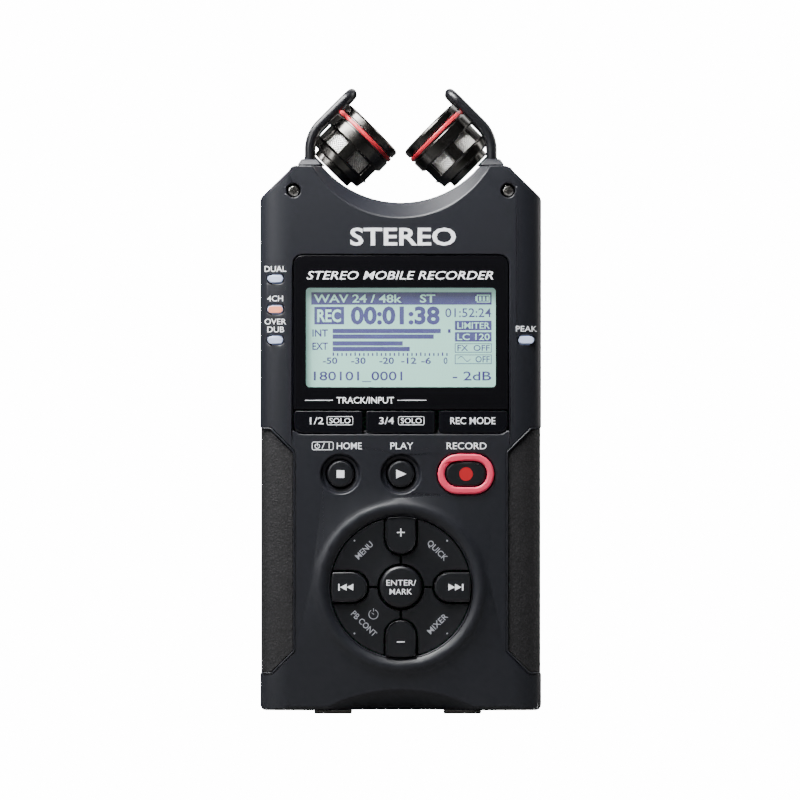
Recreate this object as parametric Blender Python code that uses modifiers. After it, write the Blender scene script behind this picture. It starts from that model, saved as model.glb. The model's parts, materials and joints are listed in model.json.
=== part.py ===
# Hand-held stereo field recorder with two swivelling microphones.
# Sizes below are in millimetres and the model is built in metres.
# +Z runs up the case, the front faces -Y, and the origin lies under the latch tabs it stands on.

import math

import bmesh
import bpy
from mathutils import Matrix, Vector

MM = 0.001
GAP = 0.3                    # clearance between pieces that meet or seat
TRAVEL = 0.8                 # how far a key goes in

# Case
CASE_WIDTH = 70.0
CASE_DEPTH = 35.0
CASE_HEIGHT = 135.5          # foot of the case to the flat of its crown
TAB_STAND = 1.0              # latch tabs stand out below the case
RIM_STAND = 1.0              # rim of the round pad stands out of the front panel
WALL = 2.6
BACK_WALL = 3.9
FOOT_WALL = 3.6
CASE_SPLIT = -5.0            # the parting plane between front and rear case
SIDE_FALL = 0.6              # the front panel falls this much towards the sides
FLAT_MARGIN = 8.0
EDGE_WIDTH = 1.8
EDGE_DEPTH = 2.8
REAR_RADIUS = 5.0
FOOT_RADIUS = 1.4
BACK_SLOPE_START = 100.0
BACK_SLOPE_IN = 5.5
CROWN_FLAT = 8.7             # from the side to the crown's flat
SHOULDER_SIDE = 8.2          # crown down to where the side's edge starts
SHOULDER_IN = 7.0
SHOULDER_DROP = 1.4

# Crown scoop
SCOOP_RADIUS = 25.7
SCOOP_RISE = 16.6            # its centre above the crown
SCOOP_FRONT_RADIUS = 25.3
SCOOP_FRONT_RISE = 12.4
SCOOP_BAND_DEPTH = 4.2

# Hollow between the two cases
HOLLOW_TOP_DROP = 15.3       # crown down to the hollow's ceiling

# Display
WINDOW_MARGIN = 8.35
WINDOW_LOW = 74.9
WINDOW_HIGH = 113.1
WINDOW_THICK = 1.5
WINDOW_RADIUS = 2.2
VIEW_HALF_WIDTH = 23.9
VIEW_LOW = 80.1
VIEW_HIGH = 105.4
PANEL_THICK = 2.0
PANEL_BORDER = 2.2
HOLDER_RIM = 1.0

# Soft keys under the window
SOFT_LOW = 69.0
SOFT_HIGH = 74.5
SOFT_SLOT = 0.85

# Round buttons and the record key
BUTTON_Z = 58.8
BUTTON_PITCH = 15.0
BUTTON_RADIUS = 3.4
WELL_RADIUS = 5.05
WELL_DEPTH = 1.2
RECORD_X = 16.2
RECORD_LONG = 10.0
RECORD_SHORT = 5.9
RECORD_BAND = 1.75
FLANGE = 0.9

# Round pad
PAD_Z = 30.7
PAD_RADIUS = 17.4
PAD_CREST = 20.0
PAD_SKIRT = 22.2
ENTER_RADIUS = 5.3
CROSS_WIDTH = 7.4
CROSS_INNER = 8.3
KEY_SLOT = 0.6

# Light pips
PIP_MARGIN = 3.8
PIP_LONG = 3.9
PIP_SHORT = 1.9
PIPS_LEFT = (107.3, 99.7, 92.1)
PIP_RIGHT = 92.1

# Grips
GRIP_MARGIN = 8.4
GRIP_LOW = 9.35
GRIP_HIGH = 70.0
GRIP_THICK = 1.2
GRIP_CUT_TOP = 5.9
GRIP_CUT_FOOT = 5.6
GRIP_INSET = 0.4

# Shoulder screws
SCREW_MARGIN = 8.34
SCREW_DROP = 6.2
SCREW_HEAD = 1.4
SCREW_HOLE = 1.77
SCREW_SHANK = 0.8

# Input jacks, their latches and the lens-shaped relief above them
JACK_X = 16.1
JACK_Y = 2.6
JACK_RADIUS = 10.4
JACK_LENGTH = 28.0
JACK_BORE = 3.3
LATCH_SHIFT = -0.75
LATCH_WIDTH = 9.4
LATCH_DEPTH = 2.0
LATCH_Y = -11.4
LATCH_TRAVEL = 1.0
RELIEF_RADIUS = 40.8
RELIEF_TOP = 5.2
RELIEF_DEPTH = 4.6

# Battery bay
CELL_RADIUS = 7.25
CELL_LENGTH = 50.5
CELL_COUNT = 3
CELL_SPACE = 0.45
BAY_LOW = 31.0
BAY_WALL = 1.2
CONTACT_THICK = 0.8
DOOR_THICK = 1.8
DOOR_LAP = 1.9
DOVETAIL = 1.2

# Back
INSERT_RADIUS = 4.6
INSERT_BORE = 3.2
INSERT_LENGTH = 7.5
BOSS_WALL = 1.5
SPEAKER_RADIUS = 8.5
SPEAKER_THICK = 4.2
GRILLE_HOLE = 0.8
GRILLE_PITCH = 2.6

# Side controls, which lie in the rear case
SIDE_Y = 4.0
SIDE_STROKE = 4.0
LEVEL_LOW = 43.4
LEVEL_HIGH = 66.7
LEVEL_WIDTH = 7.0
VOLUME_LOW = 62.0
VOLUME_HIGH = 76.0
SWITCH_HEIGHT = 7.0
SWITCH_WIDTH = 5.0
SWITCH_STAND = 0.3
HOLD_Z = 79.3
INPUT_Z = 98.9
PHONES_Z = 100.0
PHONES_RADIUS = 3.5
PHONES_BORE = 1.75
DATA_Z = 86.0
DATA_LONG = 8.0
DATA_SHORT = 3.0
CARD_LOW = 38.0
CARD_HIGH = 54.0
CARD_WIDTH = 7.0
CARD_THICK = 1.5

# Microphones: h runs along a microphone's own axis, tilted 45 degrees inwards
PIVOT_X = 22.8
PIVOT_SHAFT = 2.2
PIVOT_DEPTH = 12.0
MIC_X = 12.73
MIC_RISE = 4.34              # the axis point above the crown
MIC_RADIUS = 8.85
MIC_BORE = 7.3
MIC_FRONT = 8.2
RING_LOW = 4.75
RING_HIGH = 5.85
SLOTS_LOW = -2.7
SLOTS_HIGH = 1.1
SLOT_COUNT = 6
SLOT_WIDTH = 5.6
MIC_BACK = -6.9
CAP_WIDTH = 6.3
CAP_LENGTH = 19.0
CAP_HEIGHT = 1.7
CAP_TAPER = 1.1
GUARD_RADIUS = 1.25
GUARD_KNEE_RADIUS = 9.0
GUARD_TIP_RADIUS = 3.0
GUARD_HALF = 6.5
GUARD_KNEE = 8.1             # the knee above the crown
GUARD_REACH = 10.5
SWEEP_CLEARANCE = 0.9

HALF = CASE_WIDTH / 2
FOOT = TAB_STAND
CROWN = FOOT + CASE_HEIGHT
PANEL_Y = -CASE_DEPTH / 2 + RIM_STAND
BACK_Y = CASE_DEPTH / 2
INNER_FRONT = PANEL_Y + WALL
INNER_BACK = BACK_Y - BACK_WALL
KEY_BACK = INNER_FRONT + 2.5
BOARD_Y = KEY_BACK + TRAVEL + GAP
BOARD_THICK = 1.2
MAIN_Y = BOARD_Y + BOARD_THICK + 1.8
BAY_HALF = (CELL_COUNT * 2 * CELL_RADIUS + (CELL_COUNT - 1) * CELL_SPACE) / 2 + 0.8
BAY_HIGH = BAY_LOW + CELL_LENGTH + 2 * CONTACT_THICK + 2.0
DOOR_Y = BACK_Y - DOOR_THICK
CELL_Y = DOOR_Y - 1.05 - CELL_RADIUS
BAY_FLOOR = CELL_Y - CELL_RADIUS - 0.45
DOOR_TOP = FOOT + BAY_HIGH + DOOR_LAP
INSERT_Z = DOOR_TOP + INSERT_RADIUS + BOSS_WALL + 2 * GAP
SPEAKER_Z = INSERT_Z + INSERT_RADIUS + BOSS_WALL + SPEAKER_RADIUS + 2 * GAP
SIDE_TILT = math.radians(45)

FINISHES = {
    "case_plastic": ((0.055, 0.061, 0.078), 0.42, 0.0),
    "grip_rubber": ((0.030, 0.029, 0.031), 0.75, 0.0),
    "window_gloss": ((0.006, 0.006, 0.007), 0.06, 0.0),
    "display": ((0.50, 0.76, 0.66), 0.30, 0.0),
    "frame_plastic": ((0.05, 0.05, 0.05), 0.6, 0.0),
    "board_green": ((0.02, 0.14, 0.07), 0.5, 0.0),
    "key_plastic": ((0.028, 0.030, 0.036), 0.35, 0.0),
    "record_red": ((0.62, 0.035, 0.085), 0.35, 0.0),
    "light_lens": ((0.56, 0.62, 0.80), 0.25, 0.0),
    "dark_chrome": ((0.20, 0.19, 0.19), 0.18, 1.0),
    "ring_red": ((0.50, 0.02, 0.03), 0.35, 0.0),
    "mesh_silver": ((0.60, 0.60, 0.60), 0.35, 1.0),
    "guard_black": ((0.022, 0.023, 0.026), 0.40, 0.0),
    "bright_metal": ((0.72, 0.71, 0.68), 0.25, 1.0),
    "brass": ((0.66, 0.50, 0.24), 0.35, 1.0),
    "cell_sleeve": ((0.10, 0.11, 0.13), 0.35, 0.0),
    "black_plastic": ((0.015, 0.015, 0.017), 0.5, 0.0),
}

AXES = {
    "X": Matrix(((0, 0, 1), (1, 0, 0), (0, 1, 0))),
    "Y": Matrix(((1, 0, 0), (0, 0, -1), (0, 1, 0))),
    "Z": Matrix.Identity(3),
}


# Scene and helpers

def empty_scene():
    for thing in list(bpy.data.objects):
        bpy.data.objects.remove(thing)
    parts = bpy.data.collections.new("field_recorder")
    cutters = bpy.data.collections.new("cutters")
    bpy.context.scene.collection.children.link(parts)
    bpy.context.scene.collection.children.link(cutters)
    return parts, cutters


def make_finish(name):
    colour, roughness, metallic = FINISHES[name]
    finish = bpy.data.materials.new(name)
    finish.use_nodes = True
    shader = finish.node_tree.nodes["Principled BSDF"]
    shader.inputs["Base Color"].default_value = (*colour, 1.0)
    shader.inputs["Roughness"].default_value = roughness
    shader.inputs["Metallic"].default_value = metallic
    return finish


PARTS, CUTTERS = empty_scene()
MATERIALS = {name: make_finish(name) for name in FINISHES}


def place(thing, finish=None):
    """Put a solid among the parts, or among the cutters when it has no finish."""
    if finish:
        PARTS.objects.link(thing)
        thing.data.materials.clear()
        thing.data.materials.append(MATERIALS[finish])
    else:
        CUTTERS.objects.link(thing)
        thing.hide_render = True
        thing.display_type = "WIRE"
    return thing


def solid_from(name, mesh, at, turn=None, finish=None):
    thing = bpy.data.objects.new(name, mesh)
    thing.location = Vector(at) * MM
    if turn is not None:
        thing.rotation_euler = turn.to_euler()
    return place(thing, finish)


def outline(name, loops, low, high, axis="Y", at=(0, 0, 0), finish=None):
    """A flat outline drawn across an axis and filled between two places on it."""
    curve = bpy.data.curves.new(name, "CURVE")
    curve.dimensions = "2D"
    curve.fill_mode = "BOTH"
    curve.extrude = (high - low) / 2 * MM
    for loop in loops:
        spline = curve.splines.new("POLY")
        spline.points.add(len(loop) - 1)
        spline.use_cyclic_u = True
        for point, (u, v) in zip(spline.points, loop):
            point.co = (u * MM, v * MM, 0, 1)
    drawing = bpy.data.objects.new(name, curve)
    bpy.context.scene.collection.objects.link(drawing)
    bpy.context.view_layer.update()
    shown = drawing.evaluated_get(bpy.context.evaluated_depsgraph_get())
    mesh = bpy.data.meshes.new_from_object(shown)
    bpy.data.objects.remove(drawing)
    frame = AXES[axis]
    centre = frame @ Vector((0, 0, (low + high) / 2 * MM))
    if axis == "Y":
        centre = -centre
    bm = bmesh.new()
    bm.from_mesh(mesh)
    bmesh.ops.remove_doubles(bm, verts=bm.verts, dist=1e-6)
    bmesh.ops.transform(bm, matrix=Matrix.Translation(centre) @ frame.to_4x4(), verts=bm.verts)
    bmesh.ops.recalc_face_normals(bm, faces=bm.faces)
    bm.to_mesh(mesh)
    bm.free()
    mesh.name = name
    return solid_from(name, mesh, at, finish=finish)


def block(name, low, high, finish=None, at=None, bevel=0.0):
    """A box between two corners; its origin is its centre unless one is given."""
    low, high = Vector(low), Vector(high)
    centre = (low + high) / 2
    origin = Vector(at) if at is not None else centre
    bm = bmesh.new()
    bmesh.ops.create_cube(bm, size=1.0)
    bmesh.ops.scale(bm, vec=(high - low) * MM, verts=bm.verts)
    bmesh.ops.translate(bm, vec=(centre - origin) * MM, verts=bm.verts)
    mesh = bpy.data.meshes.new(name)
    bm.to_mesh(mesh)
    bm.free()
    thing = solid_from(name, mesh, origin, finish=finish)
    if bevel:
        soften(thing, bevel)
    return thing


def rod(name, start, end, radius, end_radius=None, sides=24, finish=None):
    """A round bar, or a cone, from one point to another."""
    start, end = Vector(start), Vector(end)
    along = end - start
    bm = bmesh.new()
    bmesh.ops.create_cone(
        bm, cap_ends=True, segments=sides, radius1=radius * MM,
        radius2=(radius if end_radius is None else end_radius) * MM, depth=along.length * MM)
    mesh = bpy.data.meshes.new(name)
    bm.to_mesh(mesh)
    bm.free()
    turn = along.to_track_quat("Z", "Y").to_matrix()
    return solid_from(name, mesh, (start + end) / 2, turn, finish)


def turned(name, profile, at, direction=(0, 0, 1), steps=24, closed=False, finish=None):
    """A turned solid; its profile of (radius, height) runs down the outer side."""
    bm = bmesh.new()
    points = [bm.verts.new((radius * MM, 0, height * MM)) for radius, height in profile]
    for first, second in zip(points, points[1:]):
        bm.edges.new((first, second))
    if closed:
        bm.edges.new((points[-1], points[0]))
    mesh = bpy.data.meshes.new(name)
    bm.to_mesh(mesh)
    bm.free()
    turn = Vector(direction).to_track_quat("Z", "Y").to_matrix()
    thing = solid_from(name, mesh, at, turn, finish)
    screw = thing.modifiers.new("turn", "SCREW")
    screw.steps = steps
    screw.render_steps = steps
    screw.use_merge_vertices = True
    screw.merge_threshold = 0.00001
    screw.use_smooth_shade = True
    return thing


def soften(thing, width, segments=2):
    bevel = thing.modifiers.new("soften", "BEVEL")
    bevel.width = width * MM
    bevel.segments = segments
    bevel.limit_method = "ANGLE"


def combine(thing, others, operation):
    for other in others:
        boolean = thing.modifiers.new(operation.lower(), "BOOLEAN")
        boolean.operation = operation
        boolean.object = other
        boolean.solver = "EXACT"


def cut(thing, *others):
    combine(thing, others, "DIFFERENCE")


def join(thing, *others):
    combine(thing, others, "UNION")


def keep_inside(thing, *others):
    combine(thing, others, "INTERSECT")


def arc(cx, cy, radius, start, end, steps, radius_y=None):
    """Points on an arc in degrees, both ends included."""
    other = radius if radius_y is None else radius_y
    angles = [math.radians(start + (end - start) * step / steps) for step in range(steps + 1)]
    return [(cx + radius * math.cos(angle), cy + other * math.sin(angle)) for angle in angles]


def rounded(left, low, right, high, radius, steps=4):
    """A rectangle with round corners."""
    return (arc(right - radius, high - radius, radius, 0, 90, steps)
            + arc(left + radius, high - radius, radius, 90, 180, steps)
            + arc(left + radius, low + radius, radius, 180, 270, steps)
            + arc(right - radius, low + radius, radius, 270, 360, steps))


def capsule(long, short, grow=0.0, steps=5):
    return rounded(-long / 2 - grow, -short / 2 - grow, long / 2 + grow, short / 2 + grow,
                   short / 2 + grow - 0.001, steps)


def mirrored(points):
    """An outline's right half, from top to foot, closed by its mirror image."""
    return points + [(-x, y) for x, y in reversed(points)]


# Case shapes shared by both halves

def case_plan(inset=0.0):
    side = HALF - inset
    front = PANEL_Y + inset
    edge = side - EDGE_WIDTH
    corner = arc(edge, front + SIDE_FALL + EDGE_DEPTH, EDGE_WIDTH, 270, 360, 5, EDGE_DEPTH)
    rear = arc(side - REAR_RADIUS, BACK_Y - REAR_RADIUS, REAR_RADIUS, 0, 90, 5)
    return mirrored([(HALF - FLAT_MARGIN, front)] + corner + rear)


def case_front():
    side = HALF
    foot = arc(side - FOOT_RADIUS, FOOT + FOOT_RADIUS, FOOT_RADIUS, 0, -90, 4)
    top = [(side - CROWN_FLAT, CROWN), (side - CROWN_FLAT + 0.9, CROWN - 0.35),
           (side - SHOULDER_IN, CROWN - SHOULDER_DROP), (side - 0.35, CROWN - SHOULDER_SIDE + 0.45),
           (side, CROWN - SHOULDER_SIDE - 0.4)]
    return mirrored(top + foot)


def case_profile():
    """The case's side, a hair larger than its plan and front so that no faces coincide."""
    hair = 0.04
    ahead = PANEL_Y - 1
    front = PANEL_Y - hair
    back = BACK_Y + hair
    foot = FOOT - hair
    foot_front = arc(front + FOOT_RADIUS, foot + FOOT_RADIUS, FOOT_RADIUS, 180, 270, 4)
    foot_back = arc(back - FOOT_RADIUS, foot + FOOT_RADIUS, FOOT_RADIUS, 270, 360, 4)
    slope = [(back, FOOT + BACK_SLOPE_START), (back - BACK_SLOPE_IN, CROWN + 1)]
    return [(ahead, CROWN + 1), (ahead, foot + FOOT_RADIUS + 1)] + foot_front + foot_back + slope


def scoop(name):
    """The round hollow in the crown between the microphones."""
    ahead = PANEL_Y - 2
    return rod(name, (0, ahead, CROWN + SCOOP_RISE), (0, BACK_Y + 2, CROWN + SCOOP_RISE),
               SCOOP_RADIUS, sides=72)


def scoop_band(name):
    """The sloping band in front of the scoop, from the panel to the scoop's own arc."""
    lean = (SCOOP_RISE - SCOOP_FRONT_RISE) / SCOOP_BAND_DEPTH
    extra = 1.0
    band = rod(name, (0, PANEL_Y - extra, CROWN + SCOOP_FRONT_RISE),
               (0, PANEL_Y + SCOOP_BAND_DEPTH, CROWN + SCOOP_FRONT_RISE),
               SCOOP_FRONT_RADIUS, SCOOP_RADIUS, sides=72)
    for vertex in band.data.vertices:
        along = vertex.co.z + (SCOOP_BAND_DEPTH + extra) / 2 * MM
        vertex.co.y += (along - extra * MM) * lean
    return band


def hollow(name):
    low = FOOT + FOOT_WALL
    top = CROWN - HOLLOW_TOP_DROP
    slope_z = FOOT + BACK_SLOPE_START
    fall = BACK_SLOPE_IN * (top - slope_z) / (CROWN + 1 - slope_z)
    profile = [(INNER_FRONT, low), (INNER_BACK, low), (INNER_BACK, slope_z),
               (INNER_BACK - fall, top), (INNER_FRONT, top)]
    space = outline(name, [profile], -HALF, HALF, axis="X")
    plan = rounded(-HALF + WALL, INNER_FRONT, HALF - WALL, INNER_BACK, 0.5, 2)
    keep_inside(space, outline(name + "_plan", [plan], FOOT - 1, CROWN + 1, axis="Z"))
    return space


def half_case(name, near, far, finish):
    case = outline(name, [case_front()], near, far, finish=finish)
    keep_inside(case,
                outline(name + "_plan", [case_plan()], FOOT - 2, CROWN + 2, axis="Z"),
                outline(name + "_profile", [case_profile()], -HALF - 2, HALF + 2, axis="X"))
    cut(case, hollow(name + "_hollow"), scoop(name + "_scoop"))
    for side in (-1, 1):
        cut(case, rod(f"{name}_jack_hole_{side}", (side * JACK_X, JACK_Y, FOOT - 3),
                      (side * JACK_X, JACK_Y, FOOT + FOOT_WALL + 3), JACK_RADIUS + GAP, sides=32))
    return case


# Front case with everything that passes through it

def grip_outline(side, grow):
    inner = HALF - GRIP_MARGIN - grow
    outer = HALF + 3
    low = FOOT + GRIP_LOW - grow
    high = FOOT + GRIP_HIGH + grow
    points = [(inner, low + GRIP_CUT_FOOT), (inner + GRIP_CUT_FOOT, low), (outer, low),
              (outer, high), (inner + GRIP_CUT_TOP, high), (inner, high - GRIP_CUT_TOP)]
    return [(side * x, z) for x, z in points]


def grip_depth(name, inset):
    """What lies outside the case's plan, drawn in by an inset."""
    far = HALF + 8
    around = [(-far, PANEL_Y - 5), (far, PANEL_Y - 5), (far, BACK_Y + 5), (-far, BACK_Y + 5)]
    return outline(name, [around, case_plan(inset)], FOOT, CROWN, axis="Z")


def add_grips(case):
    for side, label in ((-1, "left"), (1, "right")):
        recess = outline(f"grip_recess_{label}", [grip_outline(side, GAP)], PANEL_Y - 2, CASE_SPLIT + 1)
        keep_inside(recess, grip_depth(f"grip_bed_{label}", GRIP_INSET + GRIP_THICK + GAP))
        cut(case, recess)
        grip = outline(f"grip_{label}", [grip_outline(side, 0)], PANEL_Y - 2, CASE_SPLIT - GAP,
                       finish="grip_rubber")
        keep_inside(grip, grip_depth(f"grip_back_{label}", GRIP_INSET + GRIP_THICK),
                    outline(f"grip_face_{label}", [case_plan(GRIP_INSET)], FOOT, CROWN, axis="Z"))


def add_display(case):
    half = HALF - WINDOW_MARGIN
    low = FOOT + WINDOW_LOW
    high = FOOT + WINDOW_HIGH
    face = PANEL_Y + 0.05
    soft_low = FOOT + SOFT_LOW
    pocket = rounded(-half - GAP, soft_low - GAP, half + GAP, high + GAP, WINDOW_RADIUS + GAP)
    view = rounded(-VIEW_HALF_WIDTH, FOOT + VIEW_LOW, VIEW_HALF_WIDTH, FOOT + VIEW_HIGH, 0.9, 3)
    cut(case, outline("window_pocket", [pocket], PANEL_Y - 3, face + WINDOW_THICK + GAP),
        outline("view_hole", [view], PANEL_Y - 3, INNER_FRONT + 1))

    top = arc(half - WINDOW_RADIUS, high - WINDOW_RADIUS, WINDOW_RADIUS, 0, 90, 5)
    window = mirrored(list(reversed(top)) + [(half, low)])
    outline("display_window", [window], face, face + WINDOW_THICK, finish="window_gloss")

    panel_half = VIEW_HALF_WIDTH + PANEL_BORDER
    panel_low = FOOT + VIEW_LOW - PANEL_BORDER
    panel_high = FOOT + VIEW_HIGH + PANEL_BORDER
    panel_y = INNER_FRONT + GAP
    display = block("lcd_panel", (-panel_half, panel_y, panel_low),
                    (panel_half, panel_y + PANEL_THICK, panel_high), "display")
    glass_half = VIEW_HALF_WIDTH - GAP
    join(display, block("lcd_glass", (-glass_half, face + WINDOW_THICK + GAP, FOOT + VIEW_LOW + GAP),
                        (glass_half, panel_y + PANEL_THICK / 2, FOOT + VIEW_HIGH - GAP)))
    reach = GAP + HOLDER_RIM
    back = panel_y + PANEL_THICK + GAP
    holder = block("lcd_holder", (-panel_half - reach, panel_y, panel_low - reach),
                   (panel_half + reach, back + HOLDER_RIM, panel_high + reach), "frame_plastic")
    cut(holder, block("lcd_seat", (-panel_half - GAP, panel_y - 1, panel_low - GAP),
                      (panel_half + GAP, back, panel_high + GAP)))


def add_soft_keys(case):
    half = HALF - WINDOW_MARGIN
    low = FOOT + SOFT_LOW
    high = FOOT + SOFT_HIGH
    width = (2 * half - 2 * SOFT_SLOT) / 3
    height = high - low
    cut(case, block("soft_key_hole", (-half - GAP, PANEL_Y - 3, low + 0.6),
                    (half + GAP, INNER_FRONT + 1, high + 0.1)))
    for index, name in enumerate(("key_track_12", "key_track_34", "key_rec_mode")):
        centre = -half + width / 2 + index * (width + SOFT_SLOT)
        shape = rounded(-width / 2, -height / 2, width / 2, height / 2, 0.5, 2)
        if index == 0:
            shape = shape[:6] + arc(-width / 2 + 2, -height / 2 + 2, 2, 180, 270, 4) + shape[9:]
        if index == 2:
            shape = shape[:9] + arc(width / 2 - 2, -height / 2 + 2, 2, 270, 360, 4)
        face = PANEL_Y + 0.1
        ledge = face + WINDOW_THICK - 0.35 + GAP - TRAVEL
        at = (centre, 0, (low + high) / 2)
        key = outline(name, [shape], face, ledge, at=at, finish="key_plastic")
        stem = block(name + "_stem", (centre - width / 2 + 1.5, ledge - 0.5, low + 1.2),
                     (centre + width / 2 - 1.5, KEY_BACK, high - 0.6))
        join(key, stem)


def add_buttons(case):
    z = FOOT + BUTTON_Z
    for name, x in (("home_button", -BUTTON_PITCH), ("play_button", 0.0)):
        cut(case,
            rod(name + "_well", (x, PANEL_Y - 1, z), (x, PANEL_Y + WELL_DEPTH, z),
                WELL_RADIUS + 0.35, WELL_RADIUS - 0.5, sides=40),
            rod(name + "_hole", (x, PANEL_Y - 1, z), (x, INNER_FRONT + 1, z),
                BUTTON_RADIUS + GAP, sides=40))
        face = -(PANEL_Y + 0.2)
        back = -KEY_BACK
        lip = -(INNER_FRONT + GAP)
        profile = [(0, face), (BUTTON_RADIUS - 0.35, face), (BUTTON_RADIUS, face - 0.35),
                   (BUTTON_RADIUS, lip), (BUTTON_RADIUS + FLANGE, lip),
                   (BUTTON_RADIUS + FLANGE, back), (0, back)]
        turned(name, profile, (x, 0, z), (0, -1, 0), finish="key_plastic")


def add_record(case):
    at = (RECORD_X, 0, FOOT + BUTTON_Z)
    floor = INNER_FRONT - 1.0
    ring_out = capsule(RECORD_LONG, RECORD_SHORT, GAP + RECORD_BAND)
    ring_in = capsule(RECORD_LONG, RECORD_SHORT, GAP)
    cut(case,
        outline("record_pocket", [capsule(RECORD_LONG, RECORD_SHORT, 2 * GAP + RECORD_BAND)],
                PANEL_Y - 2, floor, at=at),
        outline("record_hole", [ring_in], PANEL_Y - 2, INNER_FRONT + 1, at=at))
    outline("record_ring", [ring_out, ring_in], PANEL_Y - 0.6, floor - GAP, at=at,
            finish="record_red")
    key = outline("record_button", [capsule(RECORD_LONG, RECORD_SHORT)], PANEL_Y - 0.3,
                  KEY_BACK, at=at, finish="key_plastic")
    join(key, outline("record_flange", [capsule(RECORD_LONG, RECORD_SHORT, FLANGE)],
                      INNER_FRONT + GAP, KEY_BACK - 0.2, at=at))


def cross_key_outline(grow=0.0, reach=0.0):
    """One key of the cross, drawn upwards from the pad's centre."""
    half = CROSS_WIDTH / 2 + grow
    centre = CROSS_INNER + CROSS_WIDTH / 2
    inner = arc(0, centre, half, 180, 360, 8)
    outer = PAD_RADIUS + reach
    tilt = math.degrees(math.asin(half / outer))
    return inner + arc(0, 0, outer, 90 - tilt, 90 + tilt, 6)


def turned_outline(points, degrees):
    angle = math.radians(degrees)
    cosine, sine = math.cos(angle), math.sin(angle)
    return [(x * cosine - y * sine, x * sine + y * cosine) for x, y in points]


def add_pad(case):
    z = FOOT + PAD_Z
    at = (0, 0, z)
    face = PANEL_Y - 0.8
    crest = -(PANEL_Y - RIM_STAND)
    panel = -PANEL_Y
    wall = PAD_RADIUS + GAP
    rim = turned("pad_rim", [(wall, panel - 0.4), (wall + 0.2, panel + 0.1),
                             (PAD_CREST - 0.9, crest - 0.12), (PAD_CREST, crest),
                             (PAD_CREST + 0.9, crest - 0.2), (PAD_SKIRT, panel),
                             (PAD_SKIRT, panel - 1.0), (wall, panel - 1.0)],
                 at, (0, -1, 0), steps=48, closed=True)
    join(case, rim)
    cut(case, rod("pad_hole", (0, PANEL_Y - 3, z), (0, INNER_FRONT + 1, z), wall, sides=48))

    names = ("plus_key", "rewind_key", "minus_key", "forward_key")
    for index, name in enumerate(names):
        shape = turned_outline(cross_key_outline(), 90 * index)
        key = outline(name, [shape], face, KEY_BACK, at=at, finish="key_plastic")
        soften(key, 0.3, 1)

    slot = KEY_SLOT / 2
    inner = ENTER_RADIUS + KEY_SLOT
    outer = PAD_RADIUS - 0.1
    low_tilt = math.degrees(math.asin(slot / inner))
    high_tilt = math.degrees(math.asin(slot / outer))
    quarter = (arc(0, 0, outer, high_tilt, 90 - high_tilt, 14)
               + arc(0, 0, inner, 90 - low_tilt, low_tilt, 6))
    around = [turned_outline(cross_key_outline(KEY_SLOT, 2.0), 90 * index) for index in range(4)]
    cutters = [outline(f"cross_space_{index}", [shape], face - 1, KEY_BACK + 1, at=at)
               for index, shape in enumerate(around)]
    quarter_names = ("quick_key", "menu_key", "playback_key", "mixer_key")
    for index, name in enumerate(quarter_names):
        shape = turned_outline(quarter, 90 * index)
        key = outline(name, [shape], PANEL_Y - 0.1, KEY_BACK, at=at, finish="key_plastic")
        cut(key, cutters[index], cutters[index - 1])

    back = -KEY_BACK
    turned("enter_button", [(0, -face + 0.1), (ENTER_RADIUS - 0.6, -face),
                            (ENTER_RADIUS, -face - 0.5), (ENTER_RADIUS, back), (0, back)],
           at, (0, -1, 0), finish="key_plastic")


def add_light(case, name, side, heights):
    """Light pips that pass through the front panel on one rib."""
    x = side * (HALF - PIP_MARGIN)
    face = PANEL_Y + 0.3
    rib_front = INNER_FRONT + 0.4
    rib_back = INNER_FRONT + 1.6
    inner = HALF - WALL - GAP
    rib_low = FOOT + min(heights) - PIP_SHORT / 2 - 0.4
    rib_high = FOOT + max(heights) + PIP_SHORT / 2 + 0.4
    rib_x = sorted((side * inner, side * (HALF - PIP_MARGIN - PIP_LONG / 2 + 0.3)))
    guide = block(name, (rib_x[0], rib_front, rib_low), (rib_x[1], rib_back, rib_high), "light_lens")
    for index, height in enumerate(heights):
        at = (x, 0, FOOT + height)
        join(guide, outline(f"{name}_pip_{index}", [capsule(PIP_LONG, PIP_SHORT, steps=5)], face,
                            rib_back - 0.3, at=at))
        cut(case, outline(f"{name}_hole_{index}", [capsule(PIP_LONG, PIP_SHORT, GAP, 5)], PANEL_Y - 1,
                          rib_back + GAP, at=at))


def add_screws(case, rear):
    z = CROWN - SCREW_DROP
    head = PANEL_Y + 0.6
    seat = head + 1.0
    tip = CASE_SPLIT + 4.0
    for side, label in ((-1, "left"), (1, "right")):
        x = side * (HALF - SCREW_MARGIN)
        cut(case, rod(f"screw_head_hole_{label}", (x, PANEL_Y - 2, z), (x, seat + GAP, z), SCREW_HOLE),
            rod(f"screw_hole_{label}", (x, seat, z), (x, CASE_SPLIT + 1, z), SCREW_SHANK + GAP, sides=16))
        cut(rear, rod(f"screw_pilot_{label}", (x, CASE_SPLIT - 1, z), (x, tip + GAP, z),
                      SCREW_SHANK + GAP, sides=16))
        profile = [(0, -head), (SCREW_HEAD - 0.3, -head), (SCREW_HEAD, -head - 0.3),
                   (SCREW_HEAD, -seat), (SCREW_SHANK, -seat), (SCREW_SHANK, -tip + 0.6), (0, -tip)]
        screw = turned(f"screw_{label}", profile, (x, 0, z), (0, -1, 0), steps=20,
                       finish="bright_metal")
        for index, (wide, tall) in enumerate(((0.9, 0.2), (0.2, 0.9))):
            cut(screw, block(f"screw_slot_{label}_{index}", (x - wide, head - 0.5, z - tall),
                             (x + wide, head + 0.55, z + tall)))


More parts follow.
